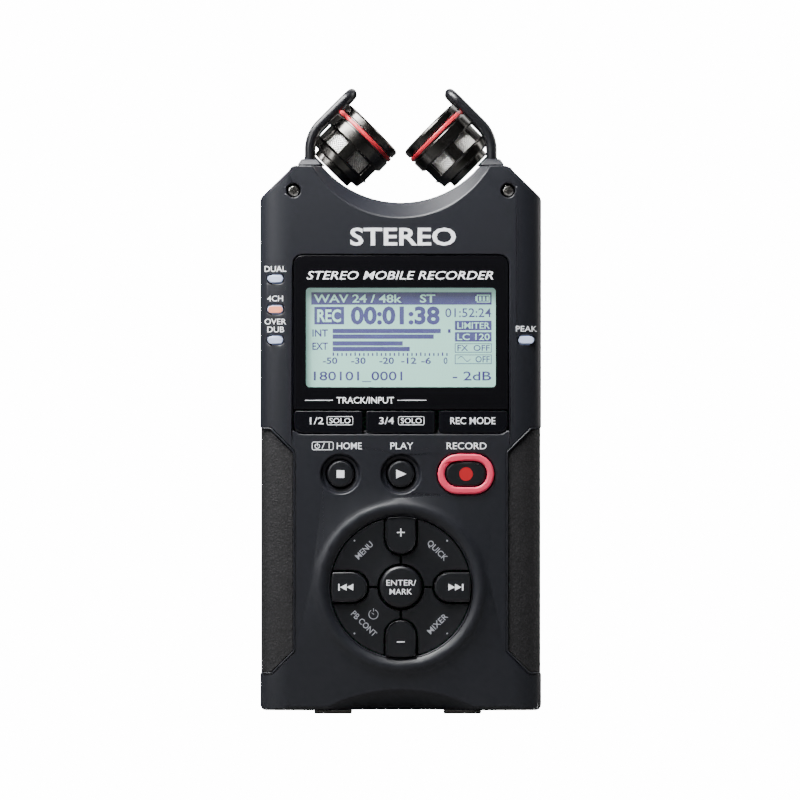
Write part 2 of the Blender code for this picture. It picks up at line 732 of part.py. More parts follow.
def add_relief(case):
    """The lens-shaped cut over the jacks, which leans in towards the foot."""
    depth = RELIEF_DEPTH + 2
    relief = rod("jack_relief", (0, PANEL_Y - 2, FOOT + RELIEF_TOP - RELIEF_RADIUS),
                 (0, PANEL_Y + RELIEF_DEPTH, FOOT + RELIEF_TOP - RELIEF_RADIUS), RELIEF_RADIUS,
                 sides=128)
    lean = (RELIEF_TOP + 0.3) / RELIEF_DEPTH
    for vertex in relief.data.vertices:
        along = vertex.co.z + depth / 2 * MM - 2 * MM
        vertex.co.y -= along * lean
    cut(case, relief)


# Rear case and what it carries

def add_battery_bay(rear):
    low = FOOT + BAY_LOW
    high = FOOT + BAY_HIGH
    bay = block("bay_walls", (-BAY_HALF - BAY_WALL, BAY_FLOOR - BAY_WALL, low - BAY_WALL),
                (BAY_HALF + BAY_WALL, INNER_BACK + 1, high + BAY_WALL))
    join(rear, bay)
    space = block("bay_space", (-BAY_HALF, BAY_FLOOR, low), (BAY_HALF, BACK_Y + 2, high))
    half = BAY_HALF + DOOR_LAP
    recess_y = DOOR_Y - GAP
    slant = DOVETAIL * (BACK_Y + 2 - recess_y) / DOOR_THICK
    recess = [(half + GAP, recess_y), (half + GAP - slant, BACK_Y + 2),
              (-half - GAP + slant, BACK_Y + 2), (-half - GAP, recess_y)]
    cut(rear, space, outline("door_recess", [recess], FOOT - 2, DOOR_TOP + GAP, axis="Z"))

    door = [(half, DOOR_Y), (half - DOVETAIL, BACK_Y), (-half + DOVETAIL, BACK_Y), (-half, DOOR_Y)]
    outline("battery_door", [door], FOOT + FOOT_RADIUS - 0.9, DOOR_TOP, axis="Z",
            finish="case_plastic")

    contact_low = low + GAP
    cell_low = contact_low + CONTACT_THICK + 0.7
    contact_high = high - GAP
    pitch = 2 * CELL_RADIUS + CELL_SPACE
    nub = 1.2
    depth = CELL_RADIUS - 1.5
    feet = block("contact_lower", (-BAY_HALF + GAP, CELL_Y - depth, contact_low),
                 (BAY_HALF - GAP, CELL_Y + depth, contact_low + CONTACT_THICK), "bright_metal")
    block("contact_upper", (-BAY_HALF + GAP, CELL_Y - depth, contact_high - CONTACT_THICK),
          (BAY_HALF - GAP, CELL_Y + depth, contact_high), "bright_metal")
    for index in range(CELL_COUNT):
        x = (index - (CELL_COUNT - 1) / 2) * pitch
        join(feet, rod(f"contact_boss_{index}", (x, CELL_Y, contact_low + 0.3),
                       (x, CELL_Y, cell_low - GAP), 4.0, 2.2, sides=12))
        profile = [(0, CELL_LENGTH), (2.6, CELL_LENGTH), (2.7, CELL_LENGTH - nub),
                   (CELL_RADIUS - 0.5, CELL_LENGTH - nub), (CELL_RADIUS, CELL_LENGTH - nub - 0.5),
                   (CELL_RADIUS, 0.4), (CELL_RADIUS - 0.4, 0), (0, 0)]
        if index % 2:
            profile = [(radius, CELL_LENGTH - height) for radius, height in reversed(profile)]
        turned(f"battery_{index + 1}", profile, (x, CELL_Y, cell_low), steps=18,
               finish="cell_sleeve")


def add_back_fittings(rear):
    z = INSERT_Z
    start = BACK_Y - INSERT_LENGTH
    boss = rod("insert_boss", (0, start - BOSS_WALL, z), (0, BACK_Y - 1, z), INSERT_RADIUS + BOSS_WALL,
               sides=32)
    join(rear, boss)
    cut(rear, rod("insert_hole", (0, start - GAP, z), (0, BACK_Y + 2, z), INSERT_RADIUS + GAP,
                  sides=32))
    profile = [(INSERT_BORE, 0), (INSERT_RADIUS, 0), (INSERT_RADIUS, -INSERT_LENGTH),
               (0, -INSERT_LENGTH), (0, -INSERT_LENGTH + 1), (INSERT_BORE, -INSERT_LENGTH + 1)]
    turned("tripod_insert", profile, (0, BACK_Y, z), (0, 1, 0), steps=28, closed=True,
           finish="brass")

    z = SPEAKER_Z
    back = INNER_BACK - 3.3
    profile = [(0, 0), (SPEAKER_RADIUS, 0), (SPEAKER_RADIUS, -1.2),
               (SPEAKER_RADIUS - 2, -SPEAKER_THICK), (0, -SPEAKER_THICK)]
    turned("speaker", profile, (0, back, z), (0, 1, 0), steps=28, finish="black_plastic")
    row = GRILLE_PITCH * math.sqrt(3) / 2
    for line in range(-2, 3):
        count = 5 - abs(line)
        for index in range(count):
            x = (index - (count - 1) / 2) * GRILLE_PITCH
            hole = z + line * row
            cut(rear, rod(f"grille_{line + 2}_{index}", (x, INNER_BACK - 4, hole),
                          (x, BACK_Y + 2, hole), GRILLE_HOLE, sides=8))


def add_rocker(rear, name, side, low, high, stand):
    """A rocker that tilts about an axis along Y, in the wall at one side."""
    middle = FOOT + (low + high) / 2
    half = (high - low) / 2
    width = LEVEL_WIDTH / 2
    outer = HALF + stand
    pivot = (side * (HALF - WALL / 2), SIDE_Y, middle)
    face = outer - (HALF - WALL / 2)
    top = [(face - 0.25, half), (face, half - 0.6), (face, 0.5), (face - 0.45, 0)]
    points = top + [(x, -z) for x, z in reversed(top[:-1])]
    profile = points + [(-WALL / 2 - 0.8, -half), (-WALL / 2 - 0.8, half)]
    drawn = [(side * x, z) for x, z in profile]
    outline(name, [drawn], -width, width, at=pivot, finish="key_plastic")
    room = GAP + 0.3
    cut(rear, block(name + "_hole", (side * HALF - 5, SIDE_Y - width - GAP, FOOT + low - room),
                    (side * HALF + 5, SIDE_Y + width + GAP, FOOT + high + room)))


def add_slide_switch(rear, name, centre, down, up):
    """A ridged slide switch in the left wall, free to go down and up by so much."""
    z = FOOT + centre
    half = SWITCH_HEIGHT / 2
    width = SWITCH_WIDTH / 2
    outer = HALF + SWITCH_STAND
    inner = HALF - WALL - 1.2
    ridges = []
    for step in (-1, 0, 1):
        middle = step * 2.0
        ridges += [(-outer + SWITCH_STAND + 0.4, middle - 0.8), (-outer, middle - 0.4),
                   (-outer, middle + 0.4), (-outer + SWITCH_STAND + 0.4, middle + 0.8)]
    drawn = [(-inner, -half), (-outer + 0.7, -half)] + ridges + [(-outer + 0.7, half), (-inner, half)]
    outline(name, [drawn], -width, width, at=(0, SIDE_Y, z), finish="key_plastic")
    cut(rear, block(name + "_slot", (-HALF - 5, SIDE_Y - width - GAP, z - half - down - GAP),
                    (-HALF + 5, SIDE_Y + width + GAP, z + half + up + GAP)))


def add_side_fittings(rear):
    add_rocker(rear, "level_rocker", -1, LEVEL_LOW, LEVEL_HIGH, 0.1)
    add_rocker(rear, "volume_rocker", 1, VOLUME_LOW, VOLUME_HIGH, 0.0)
    add_slide_switch(rear, "hold_switch", HOLD_Z, SIDE_STROKE, 0.0)
    add_slide_switch(rear, "input_switch", INPUT_Z, SIDE_STROKE, SIDE_STROKE)

    z = FOOT + PHONES_Z
    cut(rear, rod("phones_hole", (HALF - 5, SIDE_Y, z), (HALF + 2, SIDE_Y, z), PHONES_RADIUS + GAP))
    depth = WALL + 3
    turned("phones_jack", [(PHONES_BORE, 0), (PHONES_RADIUS, 0), (PHONES_RADIUS, -depth),
                           (0, -depth), (0, -depth + 1), (PHONES_BORE, -depth + 1)],
           (HALF - 0.2, SIDE_Y, z), (1, 0, 0), steps=24, closed=True, finish="black_plastic")

    z = FOOT + DATA_Z
    at = (0, SIDE_Y, z)
    ring = [(v, u) for u, v in capsule(DATA_LONG, DATA_SHORT, 0.5, 5)]
    bore = [(v, u) for u, v in capsule(DATA_LONG, DATA_SHORT, 0.0, 5)]
    room = [(v, u) for u, v in capsule(DATA_LONG, DATA_SHORT, 0.5 + GAP, 5)]
    cut(rear, outline("data_hole", [room], HALF - 5, HALF + 2, axis="X", at=at))
    outline("data_socket", [ring, bore], HALF - WALL - 3, HALF - 0.2, axis="X", at=at,
            finish="bright_metal")

    low = FOOT + CARD_LOW
    high = FOOT + CARD_HIGH
    width = CARD_WIDTH / 2
    outer = HALF - 0.1
    hinge = (outer, SIDE_Y, low)
    block("card_door", (outer - CARD_THICK, SIDE_Y - width, low), (outer, SIDE_Y + width, high),
          "black_plastic", at=hinge)
    floor = outer - CARD_THICK - GAP
    cut(rear, block("card_recess", (floor, SIDE_Y - width - GAP, low - GAP),
                    (HALF + 2, SIDE_Y + width + GAP, high + GAP)),
        block("card_slot", (floor - 4, SIDE_Y - 1.2, low + 2.5), (floor + 1, SIDE_Y + 1.2, high - 1.5)))


def add_boards():
    board_half = HALF - WALL - 4.4
    block("key_board", (-board_half, BOARD_Y, FOOT + 11.0),
          (board_half, BOARD_Y + BOARD_THICK, FOOT + WINDOW_LOW + 0.5), "board_green")
    block("main_board", (-board_half, MAIN_Y, FOOT + BAY_LOW),
          (board_half, MAIN_Y + BOARD_THICK, CROWN - HOLLOW_TOP_DROP - 3), "board_green")


def add_jacks(case):
    for side, label in ((-1, "left"), (1, "right")):
        x = side * JACK_X
        face = FOOT + 0.3
        deep = JACK_LENGTH - 3
        profile = [(0, JACK_LENGTH), (JACK_RADIUS, JACK_LENGTH), (JACK_RADIUS, 0), (JACK_BORE, 0),
                   (JACK_BORE, deep), (0, deep)]
        jack = turned(f"jack_{label}", profile, (x, JACK_Y, face), steps=28, finish="black_plastic")
        for index in range(3):
            angle = math.radians(90 + 120 * index)
            px = x + 6.4 * math.cos(angle)
            py = JACK_Y + 6.4 * math.sin(angle)
            cut(jack, rod(f"pin_hole_{label}_{index}", (px, py, face - 2), (px, py, face + 14), 1.3,
                          sides=12))

        centre = x + LATCH_SHIFT
        wide = LATCH_WIDTH / 2
        near = LATCH_Y - LATCH_DEPTH / 2
        far = LATCH_Y + LATCH_DEPTH / 2
        over = FOOT + FOOT_WALL + GAP
        latch = block(f"latch_{label}", (centre - wide, near, 0), (centre + wide, far, over + 0.4),
                      "bright_metal")
        join(latch, block(f"latch_flange_{label}", (centre - wide - 1.2, near - 0.8, over),
                          (centre + wide + 1.2, far + 0.8, over + 1.5)))
        cut(case, block(f"latch_slot_{label}", (centre - wide - GAP, near - GAP, FOOT - 2),
                        (centre + wide + GAP, far + LATCH_TRAVEL + GAP, FOOT + FOOT_WALL + 1)))


# Microphones

def mic_frame(side):
    """The microphone's axis point and its direction, inwards and up."""
    point = Vector((side * MIC_X, 0, CROWN + MIC_RISE))
    direction = Vector((-side * math.sin(SIDE_TILT), 0, math.cos(SIDE_TILT)))
    return point, direction


def add_mic_base(side, label, rear):
    x = side * PIVOT_X
    low = CROWN + GAP
    high = low + CAP_HEIGHT
    foot = CROWN - PIVOT_DEPTH
    cut(rear, rod(f"pivot_bore_{label}", (x, 0, foot - GAP), (x, 0, CROWN + 1), PIVOT_SHAFT + GAP,
                  sides=24))
    base = block(f"mic_base_{label}", (x - CAP_WIDTH / 2, -CAP_LENGTH / 2, low),
                 (x + CAP_WIDTH / 2, CAP_LENGTH / 2, high), "case_plastic", at=(x, 0, low))
    for vertex in base.data.vertices:
        if vertex.co.z > CAP_HEIGHT / 2 * MM:
            vertex.co.x *= 1 - 2 * CAP_TAPER / CAP_WIDTH
            vertex.co.y *= 1 - 2 * CAP_TAPER / CAP_LENGTH
    soften(base, 0.4, 2)
    join(base, rod(f"pivot_shaft_{label}", (x, 0, foot), (x, 0, low + 0.5), PIVOT_SHAFT, sides=24))

    seat = MIC_BACK - GAP
    plane = PIVOT_X - MIC_X + MIC_RISE + seat * (math.sin(SIDE_TILT) + math.cos(SIDE_TILT))
    top = CAP_HEIGHT + 1.4
    shape = [(-1.9, CAP_HEIGHT / 2), (2.0, 2 * GAP), (plane - 2 * GAP, 2 * GAP), (plane - top, top),
             (-1.2, top)]
    drawn = [(x - side * u, CROWN + v) for u, v in shape]
    join(base, outline(f"mic_arm_{label}", [drawn], -3.2, 3.2))
    for y in (-GUARD_HALF, GUARD_HALF):
        cut(base, rod(f"guard_socket_{label}_{y:.0f}", (x, y, low + 0.5), (x, y, high + 2),
                      GUARD_RADIUS + GAP, sides=16))
    return base


def fillet_path(corners, radii, steps=5):
    """A path through corners whose bends are round, each with its own radius."""
    corners = [Vector(corner) for corner in corners]
    path = [corners[0]]
    for before, corner, after, radius in zip(corners, corners[1:], corners[2:], radii):
        into = (corner - before).normalized()
        out = (after - corner).normalized()
        turn = into.angle(out)
        reach = radius * math.tan(turn / 2)
        start = corner - into * reach
        towards = (out - into).normalized()
        centre = corner + towards * radius / math.cos(turn / 2)
        arm = start - centre
        axis = into.cross(out).normalized()
        path += [centre + Matrix.Rotation(turn * step / steps, 3, axis) @ arm
                 for step in range(steps + 1)]
    return path + [corners[-1]]


def add_guard(side, label):
    x = side * PIVOT_X
    low = CROWN + 2 * GAP + 0.5
    knee = CROWN + GUARD_KNEE
    far = x - side * GUARD_REACH
    top = knee + GUARD_REACH
    corners = [(x, -GUARD_HALF, low), (x, -GUARD_HALF, knee), (far, -GUARD_HALF, top),
               (far, GUARD_HALF, top), (x, GUARD_HALF, knee), (x, GUARD_HALF, low)]
    path = fillet_path(corners, (GUARD_KNEE_RADIUS, GUARD_TIP_RADIUS, GUARD_TIP_RADIUS, GUARD_KNEE_RADIUS))
    curve = bpy.data.curves.new(f"mic_guard_{label}", "CURVE")
    curve.dimensions = "3D"
    curve.bevel_depth = GUARD_RADIUS * MM
    curve.bevel_resolution = 2
    curve.use_fill_caps = True
    spline = curve.splines.new("POLY")
    spline.points.add(len(path) - 1)
    for target, point in zip(spline.points, path):
        target.co = (*((point - Vector((x, 0, CROWN))) * MM), 1)
    guard = bpy.data.objects.new(f"mic_guard_{label}", curve)
    guard.location = Vector((x, 0, CROWN)) * MM
    return place(guard, "guard_black")


def add_mic_body(side, label):
    point, direction = mic_frame(side)
    barrel_top = RING_LOW - GAP
    neck = MIC_RADIUS - 0.9
    slotted = MIC_RADIUS - 0.44
    profile = [(MIC_RADIUS - 0.2, barrel_top), (MIC_RADIUS, barrel_top - 0.2), (MIC_RADIUS, 1.5),
               (slotted, 1.3), (slotted, -2.9), (neck, -3.3), (neck - 0.3, -5.2), (5.8, -5.4),
               (5.8, MIC_BACK), (0, MIC_BACK), (0, -3.2), (MIC_BORE, -3.2), (MIC_BORE, barrel_top)]
    barrel = turned(f"mic_barrel_{label}", profile, point * 1.0, direction, steps=36, closed=True,
                    finish="dark_chrome")
    across = Vector((0, 1, 0))
    up = direction.cross(across)
    middle = (SLOTS_LOW + SLOTS_HIGH) / 2
    for index in range(SLOT_COUNT):
        angle = math.radians(30 + 360 / SLOT_COUNT * index)
        out = -across * math.cos(angle) + up * math.sin(angle)
        wide = direction.cross(out)
        centre = point + direction * middle + out * (MIC_BORE + 0.6)
        slot = block(f"mic_slot_{label}_{index}", (-1.6, -SLOT_WIDTH / 2, -(SLOTS_HIGH - SLOTS_LOW) / 2),
                     (1.6, SLOT_WIDTH / 2, (SLOTS_HIGH - SLOTS_LOW) / 2), at=(0, 0, 0))
        turn = Matrix((out, wide, direction)).transposed().to_4x4()
        slot.matrix_world = Matrix.Translation(centre * MM) @ turn
        cut(barrel, slot)
    ring = [(MIC_RADIUS - 0.2, RING_HIGH), (MIC_RADIUS, RING_HIGH - 0.2), (MIC_RADIUS, RING_LOW + 0.2),
            (MIC_RADIUS - 0.2, RING_LOW), (MIC_BORE, RING_LOW), (MIC_BORE, RING_HIGH)]
    front_low = RING_HIGH + GAP
    front = [(MIC_RADIUS - 0.7, MIC_FRONT), (MIC_RADIUS - 0.12, MIC_FRONT - 0.5),
             (MIC_RADIUS - 0.12, front_low), (MIC_BORE, front_low), (MIC_BORE, MIC_FRONT)]
    capsule_radius = MIC_BORE - 0.4
    cup = [(0, MIC_FRONT - 0.3), (capsule_radius - 0.6, MIC_FRONT - 0.5),
           (capsule_radius, MIC_FRONT - 1.1), (capsule_radius, -2.8), (0, -2.8)]
    return [
        barrel,
        turned(f"mic_ring_{label}", ring, point, direction, steps=32, closed=True, finish="ring_red"),
        turned(f"mic_front_{label}", front, point, direction, steps=32, closed=True,
               finish="dark_chrome"),
        turned(f"mic_capsule_{label}", cup, point, direction, steps=24, finish="mesh_silver"),
    ]


def sweep_space(side, label):
    """What a microphone passes through as it swings round the rear of its pivot."""
    sine = math.sin(SIDE_TILT)

    def lowest(radius, along):
        # the underside of a circle on the microphone's axis: out from the pivot, and up
        return (PIVOT_X - MIC_X + (along + radius) * sine, CROWN + MIC_RISE + (along - radius) * sine)

    disc_r, disc_z = lowest(5.8, MIC_BACK)
    neck_r, neck_z = lowest(MIC_RADIUS - 1.2, -5.2)
    ring_r, ring_z = lowest(MIC_RADIUS, 1.4)
    tip_r = PIVOT_X - MIC_X + (MIC_FRONT + MIC_RADIUS) * sine
    low = min(disc_z, neck_z) - SWEEP_CLEARANCE
    rise = CROWN + 30
    profile = [(0, rise), (tip_r + 2 + rise - ring_z, rise), (ring_r + 0.6, ring_z - SWEEP_CLEARANCE),
               (neck_r + 0.6, low), (disc_r - 0.4, low), (PIVOT_SHAFT + 1.4, CROWN - 0.1),
               (PIVOT_SHAFT + 1.4, CROWN + 0.6), (0, CROWN + 0.6)]
    return turned(f"sweep_{label}", profile, (side * PIVOT_X, 0, 0), steps=48)


def add_microphones(rear):
    for side, label in ((-1, "left"), (1, "right")):
        cut(rear, sweep_space(side, label))
        pivot = bpy.data.objects.new(f"pivot_{label}", None)
        pivot.location = Vector((side * PIVOT_X, 0, CROWN)) * MM
        PARTS.objects.link(pivot)
        pieces = [add_mic_base(side, label, rear), add_guard(side, label)]
        pieces += add_mic_body(side, label)
        bpy.context.view_layer.update()
        for piece in pieces:
            piece.parent = pivot
            piece.matrix_parent_inverse = pivot.matrix_world.inverted()


def build():
    case = half_case("front_case", PANEL_Y - 0.5, CASE_SPLIT - GAP / 2, "case_plastic")
    rear = half_case("rear_case", CASE_SPLIT + GAP / 2, BACK_Y + 0.5, "case_plastic")
    cut(case, scoop_band("front_scoop_band"))
    add_relief(case)
    add_grips(case)
    add_display(case)
    add_soft_keys(case)
    add_buttons(case)
    add_record(case)
    add_pad(case)
    add_light(case, "light_guide_left", -1, PIPS_LEFT)
    add_light(case, "light_guide_peak", 1, (PIP_RIGHT,))
    add_screws(case, rear)
    add_boards()
    add_battery_bay(rear)
    add_back_fittings(rear)
    add_side_fittings(rear)
    add_jacks(case)
    add_microphones(rear)


build()
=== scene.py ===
import json
import math

import bmesh
import bpy
from mathutils import Matrix, Vector


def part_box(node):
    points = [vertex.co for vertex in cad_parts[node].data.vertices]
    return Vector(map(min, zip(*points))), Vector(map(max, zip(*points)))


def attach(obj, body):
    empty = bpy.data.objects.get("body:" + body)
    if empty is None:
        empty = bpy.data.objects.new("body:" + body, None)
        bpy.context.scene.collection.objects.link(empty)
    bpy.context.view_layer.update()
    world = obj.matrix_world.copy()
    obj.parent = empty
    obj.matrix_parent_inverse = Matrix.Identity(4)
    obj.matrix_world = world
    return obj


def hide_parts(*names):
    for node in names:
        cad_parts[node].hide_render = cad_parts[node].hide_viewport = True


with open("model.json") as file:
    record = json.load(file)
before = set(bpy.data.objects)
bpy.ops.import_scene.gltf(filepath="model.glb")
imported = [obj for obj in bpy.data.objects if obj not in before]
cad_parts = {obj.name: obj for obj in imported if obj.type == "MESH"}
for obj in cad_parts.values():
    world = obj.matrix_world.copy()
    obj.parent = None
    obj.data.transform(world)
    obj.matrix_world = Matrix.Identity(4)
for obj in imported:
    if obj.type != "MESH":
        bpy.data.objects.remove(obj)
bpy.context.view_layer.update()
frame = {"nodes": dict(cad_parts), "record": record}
mm = 0.001
nodeSlots = {part["node"]: part["material_slot"] for part in frame["record"]["subparts"]}
nodeBodies = {node: body for body, nodes in frame["record"]["behaviour"]["bodies"].items() for node in nodes}

caseLow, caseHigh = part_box("front_case")
windowLow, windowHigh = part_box("display_window")

panel = {
    "y": caseLow.y + 1.0 * mm,        # the rim of the pad stands 1 mm in front of it
    "crease": caseHigh.x - 8.0 * mm,  # where the frame's plain slope begins
    "fall": 0.6 * mm,
    "edge": caseHigh.x - 1.8 * mm,    # where its rounded corner begins
    "depth": 3.4 * mm,
    "flatHalf": caseHigh.x - 7.6 * mm,
    "half": caseHigh.x,
}
padZ = (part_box("plus_key")[1].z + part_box("minus_key")[0].z) / 2
buttonZ = sum(corner.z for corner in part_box("play_button")) / 2


def panelY(x, z=0.0):
    # one round flank from the flat of the panel to the case's side
    share = min(max(0.0, abs(x) - panel["flatHalf"]) / (panel["half"] - panel["flatHalf"]), 1.0)
    return panel["y"] + panel["depth"] * (1 - math.sqrt(1 - share * share))


plainFlank = [(panel["crease"], 0.0)] + [
    (panel["edge"] + (panel["half"] - panel["edge"]) * math.sin(math.radians(turn)),
     panel["fall"] + (panel["depth"] - panel["fall"]) * (1 - math.cos(math.radians(turn))))
    for turn in range(0, 91, 18)]


def plainY(x):
    # the same flank as the frame has it: a slope, then a corner in five flat steps
    if abs(x) <= panel["crease"]:
        return panel["y"]
    for (near, rise), (far, after) in zip(plainFlank, plainFlank[1:]):
        if abs(x) <= far:
            return panel["y"] + rise + (after - rise) * (abs(x) - near) / (far - near)
    return panel["y"] + panel["depth"]


# ---- node helpers: a value that does its own maths, and a kit that adds nodes to a tree

class Value:
    def __init__(self, kit, socket):
        self.kit = kit
        self.socket = socket

    def __add__(self, other):
        return self.kit.maths("ADD", self, other)

    def __sub__(self, other):
        return self.kit.maths("SUBTRACT", self, other)

    def __rsub__(self, other):
        return self.kit.maths("SUBTRACT", other, self)

    def __mul__(self, other):
        return self.kit.maths("MULTIPLY", self, other)

    def __truediv__(self, other):
        return self.kit.maths("DIVIDE", self, other)

    def __pow__(self, other):
        return self.kit.maths("POWER", self, other)

    def __gt__(self, other):
        return self.kit.maths("GREATER_THAN", self, other)



class Kit:
    def __init__(self, tree):
        self.tree = tree

    def node(self, kind, settings=None, sockets=None):
        made = self.tree.nodes.new(kind)
        for name, setting in (settings or {}).items():
            setattr(made, name, setting)
        for name, value in (sockets or {}).items():
            target = made.inputs[name]
            if isinstance(value, Value):
                self.tree.links.new(value.socket, target)
            else:
                target.default_value = value
        return made

    def out(self, made, name=0):
        return Value(self, made.outputs[name])

    def joined(self, *shapes):
        join = self.node("GeometryNodeJoinGeometry")
        for shape in shapes:
            self.tree.links.new(shape.socket, join.inputs[0])
        return self.out(join)

    def maths(self, operation, *values):
        return self.out(self.node("ShaderNodeMath", {"operation": operation}, dict(enumerate(values))))


class Look(Kit):
    def __init__(self, name, colour, roughness, metallic=0.0, **sockets):
        self.material = bpy.data.materials.new(name)
        self.material.use_nodes = True
        super().__init__(self.material.node_tree)
        self.shader = self.tree.nodes["Principled BSDF"]
        self.shader.inputs["Base Color"].default_value = (*colour, 1.0)
        self.shader.inputs["Roughness"].default_value = roughness
        self.shader.inputs["Metallic"].default_value = metallic
        for socket, value in sockets.items():
            self.shader.inputs[socket.replace("_", " ")].default_value = value

    def point(self):
        return self.out(self.node("ShaderNodeTexCoord"), "Object")

    def noise(self, scale, detail=2.0):
        sockets = {"Vector": self.point(), "Scale": scale, "Detail": detail}
        return self.out(self.node("ShaderNodeTexNoise", {}, sockets))

    def cells(self, scale):
        sockets = {"Vector": self.point(), "Scale": scale}
        made = self.node("ShaderNodeTexVoronoi", {"feature": "DISTANCE_TO_EDGE"}, sockets)
        return self.out(made, "Distance")

    def mix(self, share, first, second):
        sockets = {0: share, 6: (*first, 1.0), 7: (*second, 1.0)}
        return self.out(self.node("ShaderNodeMix", {"data_type": "RGBA"}, sockets), 2)

    def feed(self, socket, value):
        self.tree.links.new(value.socket, self.shader.inputs[socket])

    def bump(self, height, distance, strength=1.0):
        sockets = {"Height": height, "Distance": distance, "Strength": strength}
        self.feed("Normal", self.out(self.node("ShaderNodeBump", {}, sockets), "Normal"))


# ---- materials

def mouldedPlastic(name, colour, roughness, grain):
    look = Look(name, colour, roughness, Specular_IOR_Level=0.45)
    fine = look.noise(1 / (grain * mm), 3.0)
    cloud = look.noise(60.0, 2.0)
    darker = [part * 0.88 for part in colour]
    lighter = [part * 1.10 for part in colour]
    look.feed("Base Color", look.mix(cloud * 0.6 + fine * 0.4, darker, lighter))
    look.feed("Roughness", fine * 0.12 + (roughness - 0.06))
    look.bump(fine, 0.015 * mm, 0.55)
    return look.material


def grainedRubber():
    grip = {"colour": (0.0085, 0.0083, 0.0090), "cell": 0.80, "deep": 0.08}
    look = Look("grained rubber", grip["colour"], 0.55, Specular_IOR_Level=0.4)
    creases = look.cells(1 / (grip["cell"] * mm))
    small = look.cells(1 / (grip["cell"] * 0.45 * mm))
    pebble = look.maths("MINIMUM", creases * 4.0, 1.0) * 0.75 + look.maths("MINIMUM", small * 3.0, 1.0) * 0.25
    look.feed("Base Color", look.mix(pebble, (0.0045, 0.0044, 0.0052), (0.0095, 0.0091, 0.0105)))
    look.feed("Roughness", 0.72 - pebble * 0.22)
    look.bump(pebble, grip["deep"] * mm, 0.9)
    return look.material


def platedMetal(name, colour, roughness):
    look = Look(name, colour, roughness, 1.0)
    patches = look.noise(900.0, 2.0)
    look.feed("Roughness", patches * 0.08 + (roughness - 0.04))
    look.bump(look.noise(4000.0, 2.0), 0.004 * mm, 0.3)
    return look.material


def glossPlastic(name, colour, roughness, specular=0.5, glow=0.0, glowColour=None):
    look = Look(name, colour, roughness, Specular_IOR_Level=specular)
    swirl = look.noise(500.0, 2.0)
    look.feed("Roughness", swirl * 0.04 + (roughness - 0.02))
    if glow:
        look.shader.inputs["Emission Color"].default_value = (*(glowColour or colour), 1.0)
        look.shader.inputs["Emission Strength"].default_value = glow
    return look.material


def litDisplay():
    screen = {"pale": (0.36, 0.70, 0.58), "deep": (0.26, 0.56, 0.50), "glow": 0.34, "dot": 0.3695}
    look = Look("lit display", screen["pale"], 0.35, Specular_IOR_Level=0.2)
    place = look.node("ShaderNodeSeparateXYZ", {}, {"Vector": look.point()})
    lines = []
    for axis in ("X", "Z"):
        turns = look.out(place, axis) * (2 * math.pi / (screen["dot"] * mm))
        lines.append(look.maths("COSINE", turns) * 0.5 + 0.5)
    lattice = look.maths("MAXIMUM", lines[0], lines[1]) ** 12.0
    tone = look.mix(lattice * 0.35 + look.noise(35.0) * 0.25, screen["pale"], screen["deep"])
    look.feed("Base Color", tone)
    look.feed("Emission Color", tone)
    look.shader.inputs["Emission Strength"].default_value = screen["glow"]
    return look.material


def clearPane():
    look = Look("clear pane", (0.9, 0.95, 0.95), 0.04, Specular_IOR_Level=0.3)
    look.feed("Alpha", look.noise(20.0) * 0.01 + 0.03)
    return look.material


def printedBoard():
    look = Look("printed board", (0.02, 0.13, 0.07), 0.45)
    tracks = look.cells(1 / (1.4 * mm)) > 0.1
    look.feed("Base Color", look.mix(tracks, (0.03, 0.20, 0.10), (0.015, 0.10, 0.05)))
    look.bump(tracks, 0.03 * mm)
    return look.material


def cellSleeve():
    look = Look("cell sleeve", (0.09, 0.10, 0.12), 0.32)
    height = look.out(look.node("ShaderNodeSeparateXYZ", {}, {"Vector": look.point()}), "Z")
    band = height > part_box("battery_1")[0].z + 36 * mm
    look.feed("Base Color", look.mix(band, (0.05, 0.055, 0.07), (0.60, 0.38, 0.16)))
    look.feed("Metallic", band * 0.8)
    return look.material


looks = {
    "case_plastic": mouldedPlastic("slate case plastic", (0.0080, 0.0088, 0.0128), 0.43, 0.30),
    "grip_rubber": grainedRubber(),
    "window_gloss": glossPlastic("gloss window", (0.004, 0.004, 0.005), 0.07, 0.25),
    "display": litDisplay(),
    "frame_plastic": mouldedPlastic("inner frame plastic", (0.05, 0.05, 0.05), 0.6, 0.4),
    "board_green": printedBoard(),
    "key_plastic": mouldedPlastic("key plastic", (0.0055, 0.0060, 0.0080), 0.38, 0.22),
    "record_red": glossPlastic("red ring plastic", (0.68, 0.045, 0.10), 0.30, 0.5, 0.10, (0.9, 0.06, 0.13)),
    # the pale pips are unlit; their faint glow is painted light
    "light_lens": glossPlastic("pale light pip", (0.50, 0.57, 0.80), 0.28, 0.5, 0.12),
    "dark_chrome": platedMetal("dark chrome", (0.105, 0.101, 0.094), 0.24),
    "ring_red": glossPlastic("red band", (0.52, 0.022, 0.035), 0.33),
    "mesh_silver": platedMetal("silver screen", (0.80, 0.79, 0.76), 0.30),
    "guard_black": mouldedPlastic("black coated wire", (0.0060, 0.0062, 0.0080), 0.33, 0.25),
    "bright_metal": platedMetal("bright nickel", (0.78, 0.76, 0.72), 0.20),
    "brass": platedMetal("turned brass", (0.70, 0.52, 0.25), 0.30),
    "cell_sleeve": cellSleeve(),
    "black_plastic": mouldedPlastic("black plastic", (0.014, 0.014, 0.016), 0.5, 0.3),
}
# white print with a painted glow: its emission stands in for light falling on the marks
whitePrintPaintedGlow = glossPlastic("white print", (0.80, 0.81, 0.84), 0.5, 0.3, 0.22)
# bright print with a painted glow: its emission stands in for light falling on the lettering
brightPrintPaintedGlow = glossPlastic("bright print", (0.85, 0.86, 0.88), 0.5, 0.3, 0.4)
displayInk = glossPlastic("display ink", (0.030, 0.030, 0.17), 0.4, 0.1, 0.04, (0.05, 0.05, 0.30))
displayPale = glossPlastic("display pale", (0.36, 0.70, 0.58), 0.4, 0.1, 0.34)
